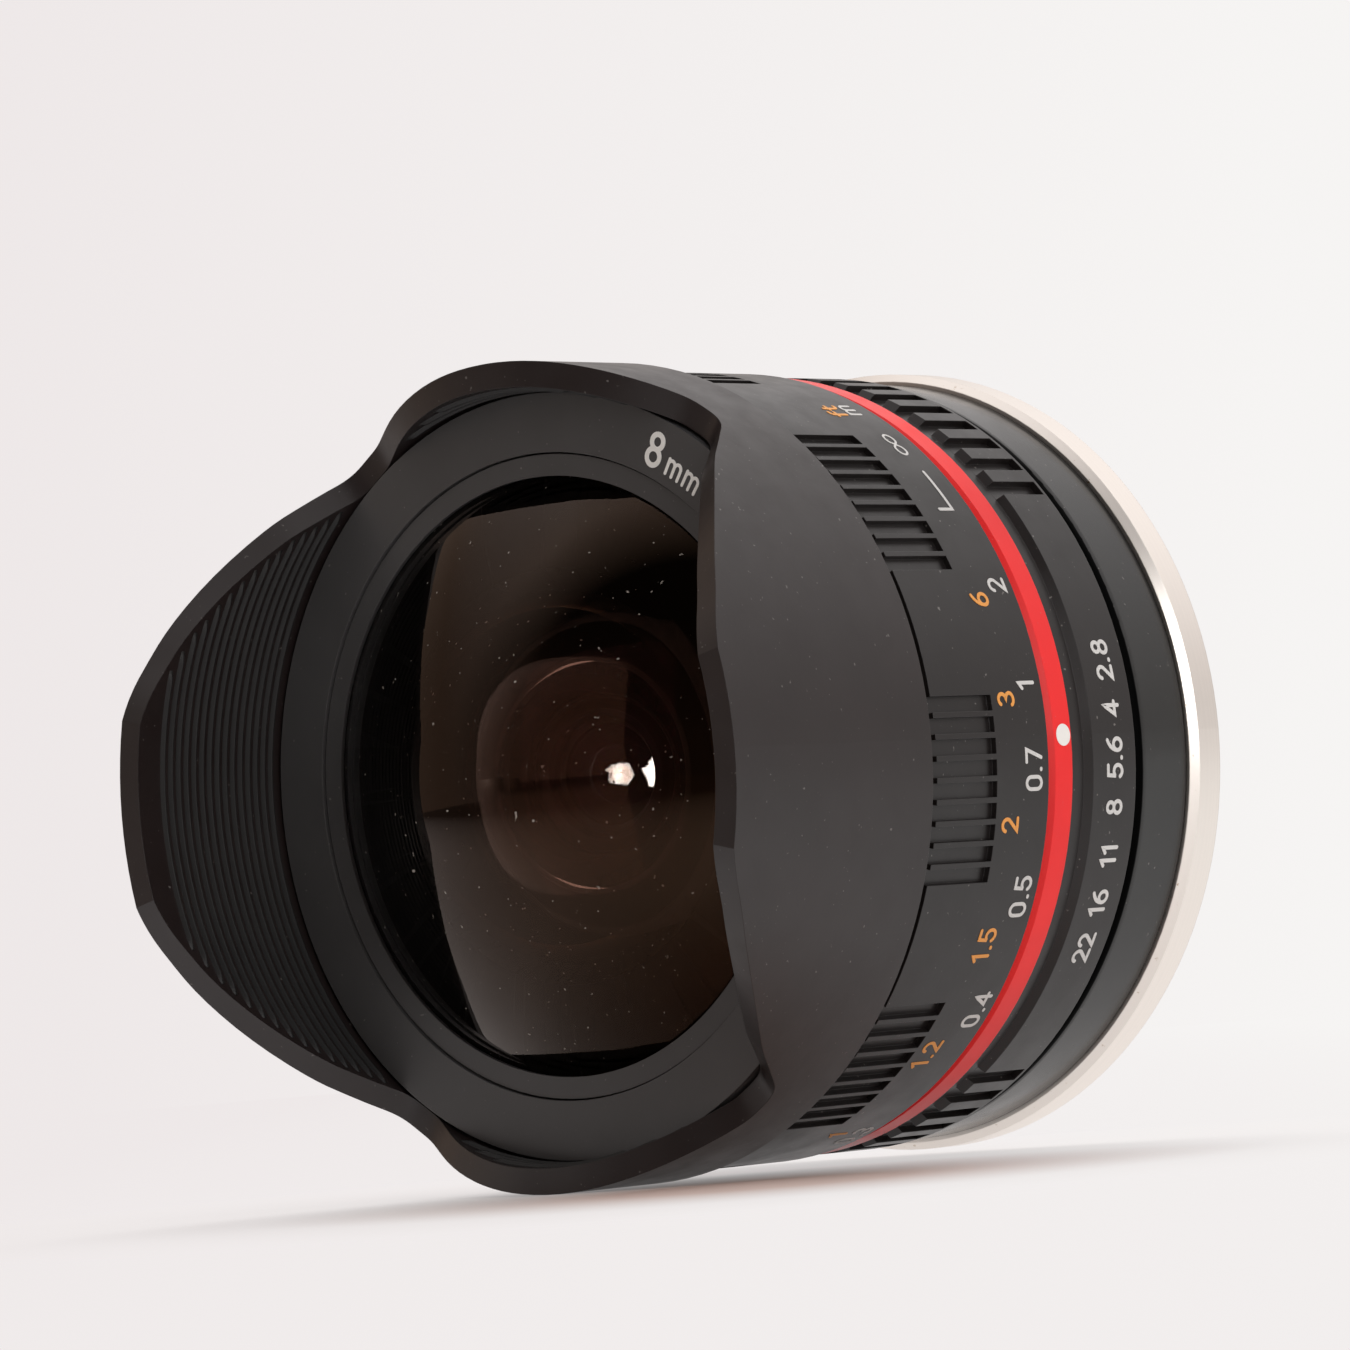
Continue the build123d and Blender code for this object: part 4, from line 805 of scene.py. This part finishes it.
# Painted shadow: the paper's colour near the rings, warm like a reddish shadow.
WARM_SHADOW_PAINT = (0.74, 0.55, 0.48, 1)
PAPER_ROUGHNESS = 0.7
MIRRORED_FRONT = (0.16, 0.12, 0.10, 1)
MIRRORED_REACH = (-0.12, -0.3)
WARM_SHADOW_REACH = (0.010, 0.036)
SHADE_REACH = (0.01, 0.075)
SHADE_LEAST = 0.55
VIEW_REACH = 0.09
VIEW_RIGHT = (0.75, 0.66, 0)
LEFT_WHITE = (0.855, 0.81, 0.81, 1)
RIGHT_WHITE = (0.92, 0.905, 0.895, 1)
CLOTH_LOW = (0.62, 0.585, 0.57, 1)
CLOTH_HIGH = (1.08, 1.04, 1.03, 1)
BROWN_WALL = (0.36, 0.26, 0.20, 1)
ROOM_LOW = (0.12, 0.09, 0.08, 1)
ROOM_HIGH = (0.04, 0.038, 0.037, 1)
DARK_SIDE = (0.25, -0.966, 0.05)
WARM_SHADOW_PLACE = (0.022, -0.048, -0.030)
SHADE_PLACE = (0.006, -0.040, -0.030)
CAMERA_PLACE = (339.1, -413.7, -17.0)
CAMERA_FORWARD = (-0.6591, 0.7507, 0.0469)
CAMERA_UP = (0.0909, 0.0175, 0.9957)
CAMERA_LENS = 185.66
CAMERA_SENSOR = 36.0
CAMERA_CLIP = (0.01, 10)


def light_path_share(nodes, links, *kinds):
    """1 for the kinds of ray named, and 0 for others."""
    rays = nodes.new("ShaderNodeLightPath")
    share = rays.outputs[kinds[0]]
    for kind in kinds[1:]:
        share = maths(nodes, links, "MAXIMUM", share, rays.outputs[kind])
    return share


def paper_shade(nodes, links, vector):
    """Background white, a little darker and pinker towards the left of the view."""
    across = compared(nodes, links, "DOT_PRODUCT", vector, VIEW_RIGHT)
    share = spread_to(nodes, links, across, -VIEW_REACH, VIEW_REACH, 0, 1)
    return mixed(nodes, links, share, LEFT_WHITE, RIGHT_WHITE)


def floor_look():
    """White paper: its own shading near the lens with a warm shadow painted into its colour there, plain
    background farther off.
    """
    made, nodes, links, bsdf = material("white_paper")
    vector = place(nodes)
    fibres = spread_to(nodes, links, noise(nodes, links, vector, FIBRE_SCALE, 4), 0.3, 0.7, 0, 1)
    paper = mixed(nodes, links, fibres, PAPER_DARK, PAPER_LIGHT)
    # Painted shadow: near the rings the paper's colour turns warm, as for a reddish shadow.
    warm = compared(nodes, links, "DISTANCE", vector, WARM_SHADOW_PLACE)
    warm = spread_to(nodes, links, warm, *WARM_SHADOW_REACH, 1, 0)
    links.new(mixed(nodes, links, warm, paper, WARM_SHADOW_PAINT), bsdf.inputs["Base Color"])
    bsdf.inputs["Roughness"].default_value = PAPER_ROUGHNESS
    # Glossy surfaces mirror the paper in front of the lens darker than it is.
    in_front = spread_to(nodes, links, axes(nodes, links, vector)[1], *MIRRORED_REACH, 0, 1)
    glossy = light_path_share(nodes, links, "Is Glossy Ray")
    in_front = maths(nodes, links, "MULTIPLY", in_front, glossy)
    plain = nodes.new("ShaderNodeEmission")
    shade = mixed(nodes, links, in_front, paper_shade(nodes, links, vector), MIRRORED_FRONT)
    links.new(shade, plain.inputs["Color"])
    away = compared(nodes, links, "DISTANCE", vector, SHADE_PLACE)
    away = spread_to(nodes, links, away, *SHADE_REACH, SHADE_LEAST, 1)
    # In the painted warm shadow the paper shows more of its own shading.
    warmer = maths(nodes, links, "MULTIPLY", warm, SHADE_LEAST)
    away = maths(nodes, links, "SUBTRACT", away, warmer, clamp=True)
    seen = light_path_share(nodes, links, "Is Camera Ray", "Is Glossy Ray", "Is Transmission Ray")
    away = maths(nodes, links, "MULTIPLY", away, seen)
    surface = blended(nodes, links, away, bsdf.outputs[0], plain.outputs[0])
    links.new(surface, nodes["Material Output"].inputs["Surface"])
    return made


def floor():
    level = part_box("petal_hood")[0].z - FLOOR_DROP * MM
    turns = [2 * pi * side / FLOOR_SIDES for side in range(FLOOR_SIDES)]
    disc = bmesh.new()
    inner = None
    for ring_number in range(1, FLOOR_RINGS + 1):
        radius = FLOOR_RADIUS * MM * (ring_number / FLOOR_RINGS) ** 2
        outer = [disc.verts.new((radius * cos(turn), radius * sin(turn), level)) for turn in turns]
        if inner is None:
            disc.faces.new(outer)
        else:
            for side in range(FLOOR_SIDES):
                after = (side + 1) % FLOOR_SIDES
                disc.faces.new((inner[side], outer[side], outer[after], inner[after]))
        inner = outer
    data = bpy.data.meshes.new("paper_floor")
    disc.to_mesh(data)
    disc.free()
    data.materials.append(floor_look())
    thing = bpy.data.objects.new("paper_floor", data)
    bpy.context.scene.collection.objects.link(thing)


def world():
    """White tent, greyer at the horizon and brown at the left, with a dark room in front."""
    made = bpy.data.worlds.new("studio")
    bpy.context.scene.world = made
    made.use_nodes = True
    nodes, links = made.node_tree.nodes, made.node_tree.links
    nodes.clear()
    ray = nodes.new("ShaderNodeTexCoord").outputs["Generated"]
    across, _, up = axes(nodes, links, ray)
    height = spread_to(nodes, links, maths(nodes, links, "ABSOLUTE", up), 0.12, 0.6, 0, 1)
    cloth = mixed(nodes, links, height, CLOTH_LOW, CLOTH_HIGH)
    left = spread_to(nodes, links, across, -0.5, -0.85, 0, 1)
    cloth = mixed(nodes, links, left, cloth, BROWN_WALL)
    toward = compared(nodes, links, "DOT_PRODUCT", ray, DARK_SIDE)
    dim = spread_to(nodes, links, toward, 0.36, 0.66, 0, 1)
    room = mixed(nodes, links, height, ROOM_LOW, ROOM_HIGH)
    tent = nodes.new("ShaderNodeBackground")
    links.new(mixed(nodes, links, dim, cloth, room), tent.inputs["Color"])
    plain = nodes.new("ShaderNodeBackground")
    links.new(paper_shade(nodes, links, ray), plain.inputs["Color"])
    for backdrop in (tent, plain):
        backdrop.inputs["Strength"].default_value = 1
    seen = light_path_share(nodes, links, "Is Camera Ray", "Is Transmission Ray")
    surface = blended(nodes, links, seen, tent.outputs[0], plain.outputs[0])
    links.new(surface, nodes.new("ShaderNodeOutputWorld").inputs["Surface"])


def softbox(name, spot, aim, width, height, watts, mirrored):
    """Soft lamp that the camera doesn't see. mirrored says whether glossy surfaces show it."""
    data = bpy.data.lights.new(name, "AREA")
    data.shape = "RECTANGLE"
    data.size, data.size_y = width * MM, height * MM
    data.energy = watts
    thing = bpy.data.objects.new(name, data)
    bpy.context.scene.collection.objects.link(thing)
    thing.location = Vector(spot) * MM
    thing.rotation_mode = "QUATERNION"
    thing.rotation_quaternion = (Vector(aim) - Vector(spot)).to_track_quat("-Z", "Y")
    thing.visible_glossy = mirrored
    thing.visible_camera = False
    thing.visible_transmission = False


def lights():
    softbox("key_softbox", (-260, 250, 340), (0, -25, -10), 200, 200, 1.9, False)
    softbox("front_softbox", (430, -250, 130), (0, -25, 0), 170, 260, 0.7, True)


def camera():
    data = bpy.data.cameras.new("camera")
    data.lens = CAMERA_LENS
    data.sensor_width = CAMERA_SENSOR
    data.clip_start, data.clip_end = CAMERA_CLIP
    thing = bpy.data.objects.new("camera", data)
    bpy.context.scene.collection.objects.link(thing)
    back = -Vector(CAMERA_FORWARD).normalized()
    right = Vector(CAMERA_UP).cross(back).normalized()
    up = back.cross(right)
    turn = Matrix((right, up, back)).transposed().to_4x4()
    thing.matrix_world = Matrix.Translation(Vector(CAMERA_PLACE) * MM) @ turn
    bpy.context.scene.camera = thing
    bpy.context.scene.view_settings.view_transform = "Standard"


dress_nodes()
focus_scales()
aperture_scale()
focal_length_mark()
hood_ridges()
mount_screws()
floor()
world()
lights()
camera()
